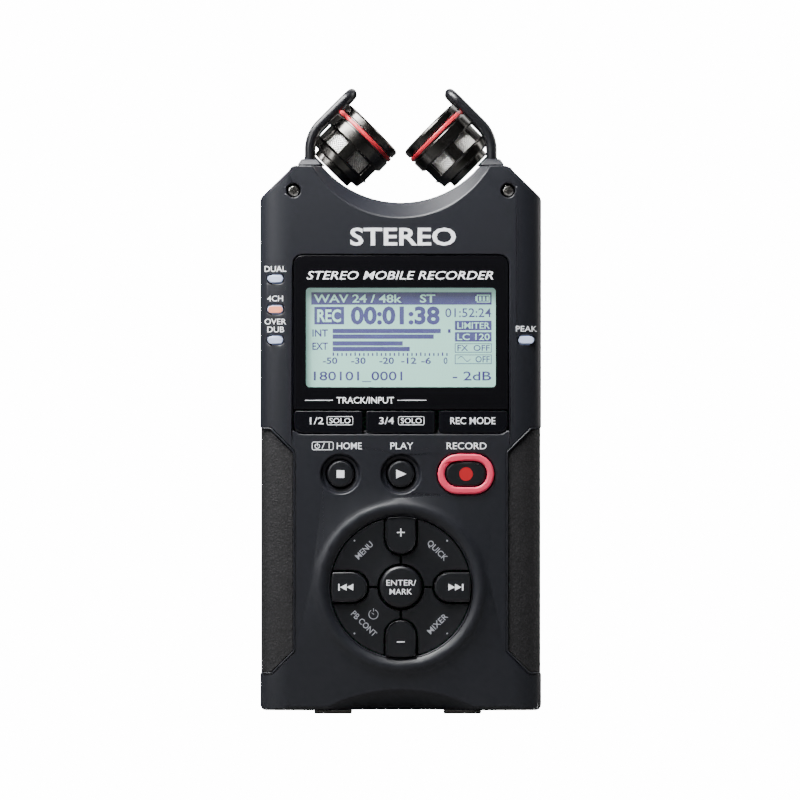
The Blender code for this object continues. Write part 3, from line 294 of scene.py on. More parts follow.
softKeyLook = glossPlastic("gloss key plastic", (0.0040, 0.0042, 0.0058), 0.16, 0.4)
greyPrint = glossPlastic("grey print", (0.30, 0.31, 0.34), 0.5, 0.3)
capsuleLook = platedMetal("capsule body", (0.50, 0.49, 0.47), 0.50)
# red print with a faint painted glow: its emission stands in for light falling on the dot
redPrintPaintedGlow = glossPlastic("red print", (0.40, 0.012, 0.018), 0.4, 0.3, 0.03)
orangeLight = glossPlastic("lit orange pip", (0.80, 0.25, 0.14), 0.28, 0.4, 0.55, (1.0, 0.33, 0.20))
# near-black painted shade for holes, laid on as thin discs
paintedHoleShade = glossPlastic("dark recess", (0.003, 0.003, 0.003), 0.7, 0.1)
print("materials ready")


# ---- making pieces

def newPiece(name, mesh, material, body, replaced=()):
    piece = bpy.data.objects.new(name, mesh)
    bpy.context.scene.collection.objects.link(piece)
    if material:
        mesh.materials.clear()
        mesh.materials.append(material)
    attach(piece, body)
    if replaced:
        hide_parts(*replaced)
    return piece


def meshFrom(bm, name, smoothAngle=35):
    mesh = bpy.data.meshes.new(name)
    bm.to_mesh(mesh)
    bm.free()
    mesh.shade_smooth()
    mesh.set_sharp_from_angle(angle=math.radians(smoothAngle))
    return mesh


def mergedCopy(node):
    bm = bmesh.new()
    bm.from_mesh(frame["nodes"][node].data)
    bmesh.ops.remove_doubles(bm, verts=bm.verts, dist=0.002 * mm)
    bmesh.ops.dissolve_limit(bm, angle_limit=math.radians(0.6), verts=bm.verts, edges=bm.edges)
    bmesh.ops.triangulate(bm, faces=bm.faces)
    return bm


def roundFlanks(bm):
    # the frame's stepped flank becomes one curve; what lies deeper than 5 mm stays where it is
    creases = [edge for edge in bm.edges
               if all(abs(abs(vertex.co.x) - panel["crease"]) < 0.01 * mm for vertex in edge.verts)
               and all(abs(vertex.co.y - panel["y"]) < 0.01 * mm for vertex in edge.verts)]
    bmesh.ops.dissolve_edges(bm, edges=creases, use_verts=True)
    for step in range(1, 12):
        for side in (-1, 1):
            x = panel["half"] - (panel["half"] - panel["flatHalf"]) * (1 - step / 12) ** 1.5
            bmesh.ops.bisect_plane(bm, geom=bm.verts[:] + bm.edges[:] + bm.faces[:], dist=0.0005 * mm,
                                   plane_co=(side * x, 0, 0), plane_no=(1, 0, 0))
    for vertex in bm.verts:
        x, y = vertex.co.x, vertex.co.y
        depth = max(0.0, y - plainY(x)) / (5 * mm)
        if abs(x) > panel["crease"] - 0.02 * mm and depth < 1:
            vertex.co.y += (panelY(x) - plainY(x)) * (1 - depth)
    bmesh.ops.triangulate(bm, faces=bm.faces)


def bevelled(piece, width, segments, angle):
    bevel = piece.modifiers.new("soft edges", "BEVEL")
    bevel.width = width * mm
    bevel.segments = segments
    bevel.angle_limit = math.radians(angle)
    return bevel


def evenShading(piece):
    even = piece.modifiers.new("even shading", "WEIGHTED_NORMAL")
    even.keep_sharp = True
    return even


def softened(node, width, segments):
    slotName, angle = nodeSlots[node], 32
    bm = mergedCopy(node)
    if node in ("front_case", "grip_left", "grip_right"):
        roundFlanks(bm)
    name = "soft_" + node
    piece = newPiece(name, meshFrom(bm, name, angle), looks[slotName], nodeBodies[node], [node])
    bevelled(piece, width, segments, angle).use_clamp_overlap = False
    evenShading(piece).weight = 60
    return piece


def carved(mesh, cutters, operation="DIFFERENCE"):
    # one mesh cut by others, as a plain mesh
    holders = []
    for index, thing in enumerate([mesh, *cutters]):
        holder = bpy.data.objects.new(f"carving{index}", thing)
        bpy.context.scene.collection.objects.link(holder)
        holders.append(holder)
    for holder in holders[1:]:
        cut = holders[0].modifiers.new("cut", "BOOLEAN")
        cut.operation = operation
        cut.object = holder
    bpy.context.view_layer.update()
    done = bpy.data.meshes.new_from_object(holders[0].evaluated_get(bpy.context.evaluated_depsgraph_get()))
    for holder in holders:
        bpy.data.objects.remove(holder)
    return done


def prism(points, front, back):
    # a closed outline in x and z, in mm, from one depth to another
    bm = bmesh.new()
    fronts = [bm.verts.new((x * mm, front * mm, z * mm)) for x, z in points]
    backs = [bm.verts.new((x * mm, back * mm, z * mm)) for x, z in points]
    bm.faces.new(fronts)
    bm.faces.new(backs[::-1])
    for index in range(len(points)):
        after = (index + 1) % len(points)
        bm.faces.new((fronts[after], fronts[index], backs[index], backs[after]))
    bmesh.ops.recalc_face_normals(bm, faces=bm.faces)
    mesh = bpy.data.meshes.new("prism")
    bm.to_mesh(mesh)
    bm.free()
    return mesh


def lathed(profile, sides, matrix):
    # a closed profile of (radius, height) in mm, turned about its own Z
    bm = bmesh.new()
    verts = [bm.verts.new((radius * mm, 0, height * mm)) for radius, height in profile]
    edges = [bm.edges.new((verts[index - 1], verts[index])) for index in range(len(verts))]
    bmesh.ops.spin(bm, geom=verts + edges, axis=(0, 0, 1), cent=(0, 0, 0), steps=sides, angle=math.tau)
    bmesh.ops.remove_doubles(bm, verts=bm.verts, dist=0.0005 * mm)
    bmesh.ops.recalc_face_normals(bm, faces=bm.faces)
    mesh = meshFrom(bm, "lathed")
    mesh.transform(matrix)
    return mesh


def arcPoints(cx, cz, radius, start, end, steps):
    angles = [math.radians(start + (end - start) * step / steps) for step in range(steps + 1)]
    return [(cx + radius * math.cos(angle), cz + radius * math.sin(angle)) for angle in angles]


def roundedBox(left, right, low, high, radius, steps=5):
    return (arcPoints(right - radius, high - radius, radius, 0, 90, steps)
            + arcPoints(left + radius, high - radius, radius, 90, 180, steps)
            + arcPoints(left + radius, low + radius, radius, 180, 270, steps)
            + arcPoints(right - radius, low + radius, radius, 270, 360, steps))


def textMesh(words, bold, slant):
    letters = bpy.data.curves.new("letters", "FONT")
    letters.body = words
    letters.size = 1.0
    letters.extrude = 0.5
    letters.offset = bold
    letters.shear = slant
    letters.resolution_u = 3
    drawn = bpy.data.objects.new("letters", letters)
    bpy.context.scene.collection.objects.link(drawn)
    bpy.context.view_layer.update()
    mesh = bpy.data.meshes.new_from_object(drawn.evaluated_get(bpy.context.evaluated_depsgraph_get()))
    bpy.data.objects.remove(drawn)
    return mesh


capHeight = max(vertex.co.y for vertex in textMesh("H", 0.0, 0.0).vertices)


class Ink:
    # thin printed marks on one surface, in mm: x to the right, z up; face gives the surface's y
    def __init__(self, face=panelY, lift=0.0, thick=0.03):
        self.bm = bmesh.new()
        self.face = face if callable(face) else lambda x, z: face
        self.lift = lift
        self.thick = thick

    def place(self, x, up, out):
        face = self.face(x * mm, up * mm)
        return (x * mm, face - (self.lift + out * self.thick) * mm, up * mm)

    def shape(self, points):
        fronts = [self.bm.verts.new(self.place(x, z, 1)) for x, z in points]
        backs = [self.bm.verts.new(self.place(x, z, 0)) for x, z in points]
        faces = [self.bm.faces.new(fronts), self.bm.faces.new(backs[::-1])]
        for index in range(len(points)):
            after = (index + 1) % len(points)
            ring = (fronts[after], fronts[index], backs[index], backs[after])
            faces.append(self.bm.faces.new(ring))
        bmesh.ops.recalc_face_normals(self.bm, faces=faces)

    def box(self, left, right, low, high):
        self.shape([(left, low), (right, low), (right, high), (left, high)])

    def border(self, left, right, low, high, line, radius=0.01):
        outer = roundedBox(left, right, low, high, radius, 4)
        inner = roundedBox(left + line, right - line, low + line, high - line, max(radius - line, 0.005), 4)
        for index in range(len(outer)):
            self.shape([outer[index - 1], outer[index], inner[index], inner[index - 1]])

    def ring(self, x, z, radius, line, start=0, end=360, steps=24):
        outer = arcPoints(x, z, radius, start, end, steps)
        inner = arcPoints(x, z, radius - line, start, end, steps)
        for index in range(steps):
            self.shape([outer[index], outer[index + 1], inner[index + 1], inner[index]])

    def disc(self, x, z, radius):
        self.shape(arcPoints(x, z, radius, 0, 345, 23))

    def words(self, text, left, right, z, cap, bold=0.012, slant=0.0, turn=0.0, about=(0.0, 0.0)):
        # fits the words between two places and to a cap height, then turns them about a point
        mesh = textMesh(text, bold, slant)
        low = min(vertex.co.x for vertex in mesh.vertices)
        wide = (right - left) / (max(vertex.co.x for vertex in mesh.vertices) - low)
        cosine, sine = math.cos(math.radians(turn)), math.sin(math.radians(turn))
        for vertex in mesh.vertices:
            x = left + (vertex.co.x - low) * wide - about[0]
            up = z + (vertex.co.y / capHeight - 0.5) * cap - about[1]
            vertex.co = self.place(about[0] + x * cosine - up * sine,
                                   about[1] + x * sine + up * cosine, vertex.co.z + 0.5)
        self.bm.from_mesh(mesh)
        bpy.data.meshes.remove(mesh)

    def finish(self, name, material, body, matrix=None):
        mesh = bpy.data.meshes.new(name)
        self.bm.to_mesh(mesh)
        self.bm.free()
        if matrix:
            mesh.transform(matrix)
        return newPiece(name, mesh, material, body)


# ---- geometry nodes: one builder for a tree with named sizes, baked to a plain mesh

def nodeTree(name, sizes):
    tree = bpy.data.node_groups.new(name, "GeometryNodeTree")
    tree.is_modifier = True
    tree.interface.new_socket("Geometry", in_out="OUTPUT", socket_type="NodeSocketGeometry")
    for label, size in sizes.items():
        kind = "NodeSocketInt" if isinstance(size, int) else "NodeSocketFloat"
        tree.interface.new_socket(label, in_out="INPUT", socket_type=kind)
    kit = Kit(tree)
    given = kit.node("NodeGroupInput")
    return kit, {label: kit.out(given, label) for label in sizes}


def endTree(kit, shape, material):
    real = kit.out(kit.node("GeometryNodeRealizeInstances", {}, {0: shape}))
    painted = kit.out(kit.node("GeometryNodeSetMaterial", {}, {0: real, "Material": material}))
    kit.node("NodeGroupOutput", {}, {0: painted})


def wired(kit, path, size, sides, caps=False):
    # round wire of the tree's own thickness along a path
    section = kit.out(kit.node("GeometryNodeCurvePrimitiveCircle", {}, {
        "Resolution": sides, "Radius": size["Thickness"]}))
    return kit.out(kit.node("GeometryNodeCurveToMesh", {}, {0: path, 1: section, "Fill Caps": caps}))


def bakedTree(kit, sizes, matrix):
    holder = bpy.data.objects.new("holder", bpy.data.meshes.new("holder"))
    bpy.context.scene.collection.objects.link(holder)
    modifier = holder.modifiers.new("nodes", "NODES")
    modifier.node_group = kit.tree
    for item in kit.tree.interface.items_tree:
        if item.in_out == "INPUT":
            modifier[item.identifier] = sizes[item.name]
    bpy.context.view_layer.update()
    mesh = bpy.data.meshes.new_from_object(holder.evaluated_get(bpy.context.evaluated_depsgraph_get()))
    holder.modifiers.remove(modifier)
    bpy.data.objects.remove(holder)
    mesh.transform(matrix)
    return mesh


# ---- casings, grips and keys

softEdges = {
    # node: (width of its soft edges in mm, segments)
    "front_case": (0.28, 2), "rear_case": (0.30, 2), "grip_left": (0.35, 3), "grip_right": (0.35, 3),
    "battery_door": (0.25, 2), "key_track_12": (0.22, 2), "key_track_34": (0.22, 2),
    "key_rec_mode": (0.22, 2), "home_button": (0.35, 3), "play_button": (0.35, 3),
    "record_button": (0.4, 3), "record_ring": (0.5, 4), "plus_key": (0.25, 2), "minus_key": (0.25, 2),
    "rewind_key": (0.25, 2), "forward_key": (0.25, 2), "enter_button": (0.3, 3),
    "light_guide_left": (0.15, 2), "light_guide_peak": (0.15, 2), "level_rocker": (0.2, 2),
    "volume_rocker": (0.2, 2), "hold_switch": (0.12, 2), "input_switch": (0.12, 2),
    "card_door": (0.2, 2), "latch_left": (0.3, 3), "latch_right": (0.3, 3), "tripod_insert": (0.2, 2),
    "phones_jack": (0.25, 2), "data_socket": (0.15, 2), "mic_base_left": (0.2, 2),
    "mic_base_right": (0.2, 2), "mic_barrel_left": (0.14, 2), "mic_barrel_right": (0.14, 2),
    "mic_ring_left": (0.12, 2), "mic_ring_right": (0.12, 2), "mic_front_left": (0.14, 2),
    "mic_front_right": (0.14, 2), "jack_left": (0.3, 2), "jack_right": (0.3, 2),
}

for node, thing in frame["nodes"].items():
    thing.data.materials.clear()
    thing.data.materials.append(looks[nodeSlots[node]])
softPieces = {node: softened(node, *values) for node, values in softEdges.items()}
for node in ("latch_left", "latch_right"):
    softPieces[node].data.materials[0] = looks["dark_chrome"]
for node in ("key_track_12", "key_track_34", "key_rec_mode"):
    softPieces[node].data.materials[0] = softKeyLook
print("casings and keys ready:", len(softPieces))

# ---- the thin lip around each grip

def rounded(corners, radii, steps=12):
    # a path through corners with a round bend at each inner one
    path = [corners[0]]
    for before, corner, after, radius in zip(corners, corners[1:], corners[2:], radii):
        back, on = (before - corner).normalized(), (after - corner).normalized()
        half = back.angle(on) / 2
        centre = corner + (back + on).normalized() * radius / math.sin(half)
        start = corner + back * radius / math.tan(half) - centre
        end = corner + on * radius / math.tan(half) - centre
        arc = [start.normalized().slerp(end.normalized(), step / steps) for step in range(steps + 1)]
        path += [centre + point * radius for point in arc]
    return path + [corners[-1]]


def tube(name, path, radius, material, body, replaced=(), sides=6):
    curve = bpy.data.curves.new(name, "CURVE")
    curve.dimensions = "3D"
    curve.bevel_depth = radius
    curve.bevel_resolution = sides
    curve.use_fill_caps = True
    spline = curve.splines.new("POLY")
    spline.points.add(len(path) - 1)
    for target, point in zip(spline.points, path):
        target.co = (*point, 1)
    holder = bpy.data.objects.new(name, curve)
    bpy.context.scene.collection.objects.link(holder)
    bpy.context.view_layer.update()
    mesh = bpy.data.meshes.new_from_object(holder.evaluated_get(bpy.context.evaluated_depsgraph_get()))
    bpy.data.objects.remove(holder)
    mesh.shade_smooth()
    return newPiece(name, mesh, material, body, replaced)


lip = {"radius": 0.22 * mm, "cutTop": 5.9 * mm, "cutFoot": 5.6 * mm, "bend": 1.0 * mm, "sunk": 0.05 * mm}
gripLow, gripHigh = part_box("grip_right")
for side, name in ((-1, "left"), (1, "right")):
    inner, outer = gripLow.x - 0.12 * mm, gripHigh.x - 0.3 * mm
    top, foot = gripHigh.z + 0.12 * mm, gripLow.z - 0.12 * mm
    corners = [Vector((side * x, 0, z)) for x, z in (
        (outer, top), (inner + lip["cutTop"], top), (inner, top - lip["cutTop"]),
        (inner, foot + lip["cutFoot"]), (inner + lip["cutFoot"], foot), (outer, foot))]
    path = rounded(corners, [lip["bend"]] * 4, 6)
    finer = []
    for first, after in zip(path, path[1:]):
        count = max(1, int((after - first).length / (0.8 * mm)))
        finer += [first.lerp(after, step / count) for step in range(count)]
    finer.append(path[-1])
    for point in finer:
        point.y = panelY(point.x) + lip["sunk"]
    tube("grip_lip_" + name, finer, lip["radius"], looks["case_plastic"], "case", (), 4)

# ---- the four dished keys between the arms of the cross

dish = {"deep": 0.38, "inner": 5.5, "outer": 17.6, "rings": 14}


def dishSunk(radius):
    share = min(max((radius - dish["inner"]) / (dish["outer"] - dish["inner"]), 0.0), 1.0)
    return dish["deep"] * math.sin(math.pi * share) ** 0.8


def dishY(x, z):
    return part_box("menu_key")[0].y + dishSunk(math.hypot(x, z - padZ) / mm) * mm


def dishedKey(node):
    low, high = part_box(node)
    face = low.y / mm
    profile = [(dish["inner"] - 3, face + 6), (dish["inner"] - 3, face + 0.1)]
    for ring in range(dish["rings"] + 1):
        radius = dish["inner"] + (dish["outer"] - dish["inner"]) * ring / dish["rings"]
        profile.append((radius, face + dishSunk(radius)))
    profile += [(dish["outer"] + 3, face + 0.02), (dish["outer"] + 3, face + 6)]
    # the profile's height runs back into the case, along +Y
    spot = Matrix.Translation((0, 0, padZ)) @ Matrix.Rotation(math.radians(-90), 4, "X")
    turned = lathed(profile, 144, spot)
    whole = meshFrom(mergedCopy(node), node + "_whole")
    for vertex in whole.vertices:
        if vertex.co.y < low.y + 0.05 * mm:
            vertex.co.y -= 1.0 * mm
    front = carved(whole, [turned], "INTERSECT")
    bm = bmesh.new()
    bm.from_mesh(front)
    bmesh.ops.remove_doubles(bm, verts=bm.verts, dist=0.003 * mm)
    mesh = meshFrom(bm, node, 30)
    piece = newPiece("dished_" + node, mesh, looks["key_plastic"], node, [node])
    bevelled(piece, 0.2, 2, 40)
    evenShading(piece)


for node in ("menu_key", "quick_key", "playback_key", "mixer_key"):
    dishedKey(node)
print("dished keys ready")

# ---- window and display

panelLow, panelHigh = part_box("lcd_panel")
display = {"border": 2.5, "columns": 128, "rows": 64, "corner": 0.9}
view = {
    "left": panelLow.x / mm + display["border"], "right": panelHigh.x / mm - display["border"],
    "low": panelLow.z / mm + display["border"], "high": panelHigh.z / mm - display["border"],
}
windowFront, windowBack = windowLow.y / mm, windowHigh.y / mm
hole = prism(roundedBox(view["left"], view["right"], view["low"], view["high"], display["corner"]),
             windowFront - 1, windowBack + 1)
windowFrame = newPiece("window_frame", carved(meshFrom(mergedCopy("display_window"), "window"), [hole]),
                       looks["window_gloss"], "case", ["display_window"])
bevelled(windowFrame, 0.22, 3, 40)
evenShading(windowFrame)
paneShape = roundedBox(view["left"] + 0.03, view["right"] - 0.03, view["low"] + 0.03, view["high"] - 0.03,
                       display["corner"])
newPiece("window_pane", prism(paneShape, windowFront + 0.05, windowBack - 0.2), clearPane(), "case",
         ["display_window"])


def column(value):
    return view["left"] + (view["right"] - view["left"]) * value / display["columns"]


def row(value):
    return view["high"] - (view["high"] - view["low"]) * value / display["rows"]


def screenBox(ink, left, right, top, foot):
    ink.box(column(left), column(right), row(foot), row(top))


def screenWords(ink, text, left, right, top, foot, bold=0.02):
    ink.words(text, column(left), column(right), (row(top) + row(foot)) / 2, row(top) - row(foot), bold)


dark = Ink(panelLow.y, 0.0, 0.02)
pale = Ink(panelLow.y, 0.03, 0.02)
screenBox(dark, 3.6, 125.3, 2.8, 10.8)
screenWords(pale, "WAV 24 / 48k", 5.3, 64.6, 4.4, 9.3)
screenWords(pale, "ST", 76.9, 87.3, 4.4, 9.3)
screenBox(pale, 114.3, 115.3, 5.4, 8.4)
pale.border(column(115.3), column(124.3), row(9.4), row(4.4), 0.22)
for bar in range(3):
    screenBox(pale, 116.8 + bar * 2.5, 118.4 + bar * 2.5, 5.5, 8.3)
screenBox(dark, 5.6, 25.7, 12.2, 23.5)
screenWords(pale, "REC", 7.6, 23.6, 14.2, 21.7, 0.03)
screenWords(dark, "00:01:38", 30.2, 90.3, 12.6, 23.0, 0.035)
screenWords(dark, "01:52:24", 94.0, 125.0, 13.2, 18.8, 0.005)
screenWords(dark, "INT", 4.3, 14.8, 26.9, 31.3)
screenWords(dark, "EXT", 4.3, 14.8, 35.4, 39.8)
for left, right, top, foot in ((18.0, 91.0, 26.4, 29.2), (18.0, 86.2, 30.0, 32.8), (95.8, 97.6, 26.6, 29.0),
                               (18.0, 65.3, 34.4, 37.2), (18.0, 70.1, 38.0, 40.8)):
    screenBox(dark, left, right, top, foot)
for tick in range(27):
    screenBox(dark, 18.0 + tick * 2.95, 18.9 + tick * 2.95, 42.0 if tick % 5 else 41.6, 43.9)
scaleMarks = {"-50": (11.4, 21.2), "-30": (30.5, 40.3), "-20": (49.5, 59.4), "-12": (64.2, 74.5),
              "-6": (77.8, 84.4), "0": (92.9, 95.5)}
for text, (left, right) in scaleMarks.items():
    screenWords(dark, text, left, right, 45.0, 48.9)
for text, top, foot, solid in (("LIMITER", 21.2, 27.3, True), ("LC 120", 28.5, 34.6, True),
                               ("FX  OFF", 35.8, 41.7, False), ("OFF", 43.0, 49.1, False)):
    if solid:
        screenBox(dark, 100.5, 125.3, top, foot)
    else:
        dark.border(column(100.5), column(125.3), row(foot), row(top), 0.16)
    left = 114.4 if text == "OFF" else 102.2
    screenWords(pale if solid else dark, text, left, 124.0, top + 1.1, foot - 1.1, 0.01)
wave = [(column(102.6 + step * 0.6), row(46.05 - 1.6 * math.sin(step / 14 * math.tau))) for step in range(15)]
for first, after in zip(wave, wave[1:]):
    dark.shape([first, after, (after[0], after[1] + 0.2), (first[0], first[1] + 0.2)])
screenWords(dark, "180101_0001", 5.3, 65.0, 54.0, 59.6, 0.008)
screenWords(dark, "- 2dB", 99.0, 125.0, 54.0, 59.6, 0.008)
dark.finish("display_marks", displayInk, "case")
pale.finish("display_reversed", displayPale, "case")

title = Ink(windowLow.y)
title.words("STEREO MOBILE RECORDER", -23.4, 23.0, 109.2, 2.0, 0.008, 0.24)
title.words("TRACK/INPUT", -16.0, -1.7, 78.15, 1.55, 0.01)
for left, right in ((-23.8, -16.9), (-0.85, 6.4)):
    title.box(left, right, 78.05, 78.2)
title.finish("window_lettering", brightPrintPaintedGlow, "case")
print("display ready")

# ---- lettering of the case and the keys

caseInk = Ink()
caseInk.words("STEREO", -12.6, 13.7, 118.8, 4.1, 0.022)
for text, left, right, z, cap in (
        ("DUAL", -33.9, -28.5, 110.8, 1.4), ("4CH", -33.2, -29.3, 103.45, 1.4),
        ("OVER", -33.9, -28.5, 97.7, 1.4), ("DUB", -33.2, -29.0, 95.75, 1.4),
        ("PEAK", 28.6, 33.9, 95.9, 1.4), ("HOME", -15.9, -9.7, 66.8, 1.64),
        ("PLAY", -2.6, 3.1, 66.8, 1.64), ("RECORD", 11.4, 21.3, 66.8, 1.64)):
    caseInk.words(text, left, right, z, cap, 0.006)
caseInk.border(-22.1, -16.7, 65.75, 67.85, 0.16, 0.5)
caseInk.ring(-20.75, 66.75, 0.66, 0.18, 120, 420)
caseInk.box(-20.84, -20.66, 66.7, 67.6)
caseInk.shape([(-19.7, 66.1), (-19.5, 66.1), (-18.9, 67.5), (-19.1, 67.5)])
caseInk.box(-17.9, -17.72, 66.1, 67.5)
caseInk.finish("case_lettering", whitePrintPaintedGlow, "case")


def keyInk(node):
    return Ink(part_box(node)[0].y)


for node, marks in {
        "key_track_12": (("1/2", -22.6, -19.2), ("SOLO", -17.75, -12.5)),
        "key_track_34": (("3/4", -5.4, -1.7), ("SOLO", 0.0, 5.2)),
        "key_rec_mode": (("REC MODE", 12.3, 23.5),)}.items():
    ink = keyInk(node)
    for text, left, right in marks:
        boxed = text == "SOLO"
        ink.words(text, left, right, 73.05, 1.25 if boxed else 1.67, 0.006)
        if boxed:
            ink.border(left - 0.65, right + 0.65, 71.95, 74.15, 0.16, 0.4)
    ink.finish(node + "_lettering", whitePrintPaintedGlow, node)

stop = keyInk("home_button")
stop.box(-15.95, -14.05, buttonZ / mm - 0.95, buttonZ / mm + 0.95)
stop.finish("home_mark", whitePrintPaintedGlow, "home_button")
play = keyInk("play_button")
play.shape([(-1.15, buttonZ / mm - 1.1), (1.45, buttonZ / mm), (-1.15, buttonZ / mm + 1.1)])
play.finish("play_mark", whitePrintPaintedGlow, "play_button")
recordDot = keyInk("record_button")
recordDot.disc(16.2, buttonZ / mm, 1.7)
recordDot.finish("record_mark", redPrintPaintedGlow, "record_button")

padUp, armMiddle = padZ / mm, 13.6
plus = keyInk("plus_key")
plus.box(-1.0, 1.0, padUp + armMiddle - 0.13, padUp + armMiddle + 0.13)
plus.box(-0.13, 0.13, padUp + armMiddle - 1.0, padUp + armMiddle + 1.0)
plus.finish("plus_mark", whitePrintPaintedGlow, "plus_key")
minus = keyInk("minus_key")
minus.box(-1.0, 1.0, padUp - armMiddle - 0.13, padUp - armMiddle + 0.13)
minus.finish("minus_mark", whitePrintPaintedGlow, "minus_key")
for node, way in (("rewind_key", -1), ("forward_key", 1)):
    ink = keyInk(node)
    for step in (-0.05, 1.6):
        tip = way * (armMiddle - 0.1 + step)
        ink.shape([(tip - way * 1.65, padUp - 0.85), (tip, padUp), (tip - way * 1.65, padUp + 0.85)][::way])
    stopEnd = way * (armMiddle + 1.6)
    left, right = sorted((stopEnd, stopEnd + way * 0.35))
    ink.box(left, right, padUp - 0.85, padUp + 0.85)
    ink.finish(node.replace("_key", "_mark"), whitePrintPaintedGlow, node)
enter = keyInk("enter_button")
enter.words("ENTER/", -3.6, 3.8, padUp + 1.1, 1.4, 0.006)
enter.words("MARK", -2.8, 2.8, padUp - 1.1, 1.4, 0.006)
enter.finish("enter_lettering", whitePrintPaintedGlow, "enter_button")
for node, text, half, turn, side in (
        ("menu_key", "MENU", 2.6, 45, 1), ("quick_key", "QUICK", 3.1, -45, 1),
        ("playback_key", "PB CONT", 4.0, -45, -1), ("mixer_key", "MIXER", 3.1, 45, -1)):
    ink = Ink(dishY)
    radius = 12.9 * side
    ink.words(text, -half, half, padUp + radius, 1.45, 0.01, 0, turn, (0.0, padUp))
    dot = 16.3 * math.copysign(1, radius)
    way = math.radians(90 + turn)
    ink.disc(dot * math.cos(way), padUp + dot * math.sin(way), 0.22)
    if node == "playback_key":
        clock = 9.6 * math.copysign(1, radius)
        clockX, clockZ = clock * math.cos(way), padUp + clock * math.sin(way)
        ink.ring(clockX, clockZ, 1.25, 0.19, 120, 430)
        ink.box(clockX - 0.1, clockX + 0.1, clockZ + 0.7, clockZ + 1.5)
        hand = [(-0.75, 0.55), (0.1, -0.1), (0.1, 0.15)]
        ink.shape([(clockX + x, clockZ + z) for x, z in hand])
    ink.finish(node + "_lettering", greyPrint, node)
print("lettering ready")

# ---- light pips: the pale ones carry a painted glow, the orange one is lit

for name, x, z, material in (
        ("pip_dual", -31.2, 108.3, looks["light_lens"]), ("pip_four", -31.2, 100.7, orangeLight),
        ("pip_over", -31.2, 93.1, looks["light_lens"]), ("pip_peak", 31.2, 93.1, looks["light_lens"])):
    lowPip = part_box("light_guide_left" if x < 0 else "light_guide_peak")[0]
    lens = Ink(lowPip.y, 0.0, 0.12)
    lens.shape(roundedBox(x - 1.8, x + 1.8, z - 0.82, z + 0.82, 0.81, 6))
    piece = lens.finish(name, material, "case")
    bevelled(piece, 0.1, 2, 50)

# ---- screws with a cross recess

screw = {"head": 1.38, "rise": 0.35, "arm": 0.34, "reach": 0.95, "deep": 0.6}
for side in ("left", "right"):
    low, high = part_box("screw_" + side)
    x, z = (low.x + high.x) / 2, (low.z + high.z) / 2
    spot = Matrix.Translation((x, low.y, z)) @ Matrix.Rotation(math.radians(90), 4, "X")
    crown = [(screw["head"] * math.sin(math.radians(step * 9)),
              -0.1 - screw["rise"] * (1 - math.cos(math.radians(step * 9)))) for step in range(11)]
    head = lathed(crown + [(screw["head"], -1.4), (0, -1.4)], 40, spot)
    cuts = []
    for reach, arm in ((screw["reach"], screw["arm"] / 2), (screw["arm"] / 2, screw["reach"])):
        slotShape = [(x / mm - reach, z / mm - arm), (x / mm + reach, z / mm - arm),
                     (x / mm + reach, z / mm + arm), (x / mm - reach, z / mm + arm)]
        cuts.append(prism(slotShape, low.y / mm - 1, low.y / mm + screw["deep"]))
    newPiece("screw_head_" + side, carved(head, cuts), looks["bright_metal"], "case",
             ["screw_" + side])
print("screws ready")

# ---- microphones: woven sleeve, grille and smooth guard

mic = {
    "middle": 2.55,         # from the crossing of the axes to the middle of the capsule
    "sleeve": {"Radius": 7.10 * mm, "Height": 4.4 * mm, "Turns": 0.085, "Wires": 60, "Thickness": 0.15 * mm},
    "sleeveFoot": -2.95,
    "grille": {"Width": 13.9 * mm, "Lines": 25, "Dome": 0.5 * mm, "Thickness": 0.13 * mm},
    "grilleHeight": 7.62,
    "core": [(7.35, 4.2), (8.55, 4.2), (8.55, 6.4), (7.35, 6.4)],
}


def sleeveTree():
    kit, size = nodeTree("woven sleeve", mic["sleeve"])
    index = kit.out(kit.node("GeometryNodeInputIndex"))
    turn = kit.out(kit.node("ShaderNodeCombineXYZ", {}, {"Z": index * math.tau / size["Wires"]}))
    spots = kit.out(kit.node("GeometryNodePoints", {}, {"Count": size["Wires"]}))
    ways = []
    for backwards in (False, True):
        spiral = kit.out(kit.node("GeometryNodeCurveSpiral", {}, {
            "Resolution": 120, "Rotations": size["Turns"], "Start Radius": size["Radius"],
            "End Radius": size["Radius"], "Height": size["Height"], "Reverse": backwards}))
        ways.append(kit.out(kit.node("GeometryNodeInstanceOnPoints", {}, {
            "Points": spots, "Instance": spiral, "Rotation": turn})))
    wires = kit.out(kit.node("GeometryNodeRealizeInstances", {}, {0: kit.joined(*ways)}))
    endTree(kit, wired(kit, wires, size, 5), looks["mesh_silver"])
    return kit


def grilleTree():
    kit, size = nodeTree("woven grille", mic["grille"])
    net = kit.out(kit.node("GeometryNodeMeshGrid", {}, {
        "Size X": size["Width"], "Size Y": size["Width"],
        "Vertices X": size["Lines"], "Vertices Y": size["Lines"]}))
    spot = kit.out(kit.node("GeometryNodeInputPosition"))
    away = kit.out(kit.node("ShaderNodeVectorMath", {"operation": "LENGTH"}, {0: spot}), "Value")
    share = away / (size["Width"] / 2)
    kept = kit.out(kit.node("GeometryNodeDeleteGeometry", {}, {0: net, "Selection": share > 1.0}))
    lift = kit.out(kit.node("ShaderNodeCombineXYZ", {}, {"Z": (1.0 - share * share) * size["Dome"]}))
    domed = kit.out(kit.node("GeometryNodeSetPosition", {}, {0: kept, "Offset": lift}))
    wires = kit.out(kit.node("GeometryNodeMeshToCurve", {}, {0: domed}))
    endTree(kit, wired(kit, wires, size, 5), looks["mesh_silver"])
    return kit


wire = {"radius": 1.25 * mm, "knee": 9.0 * mm, "tip": 3.0 * mm, "bendHeight": 7.0 * mm}


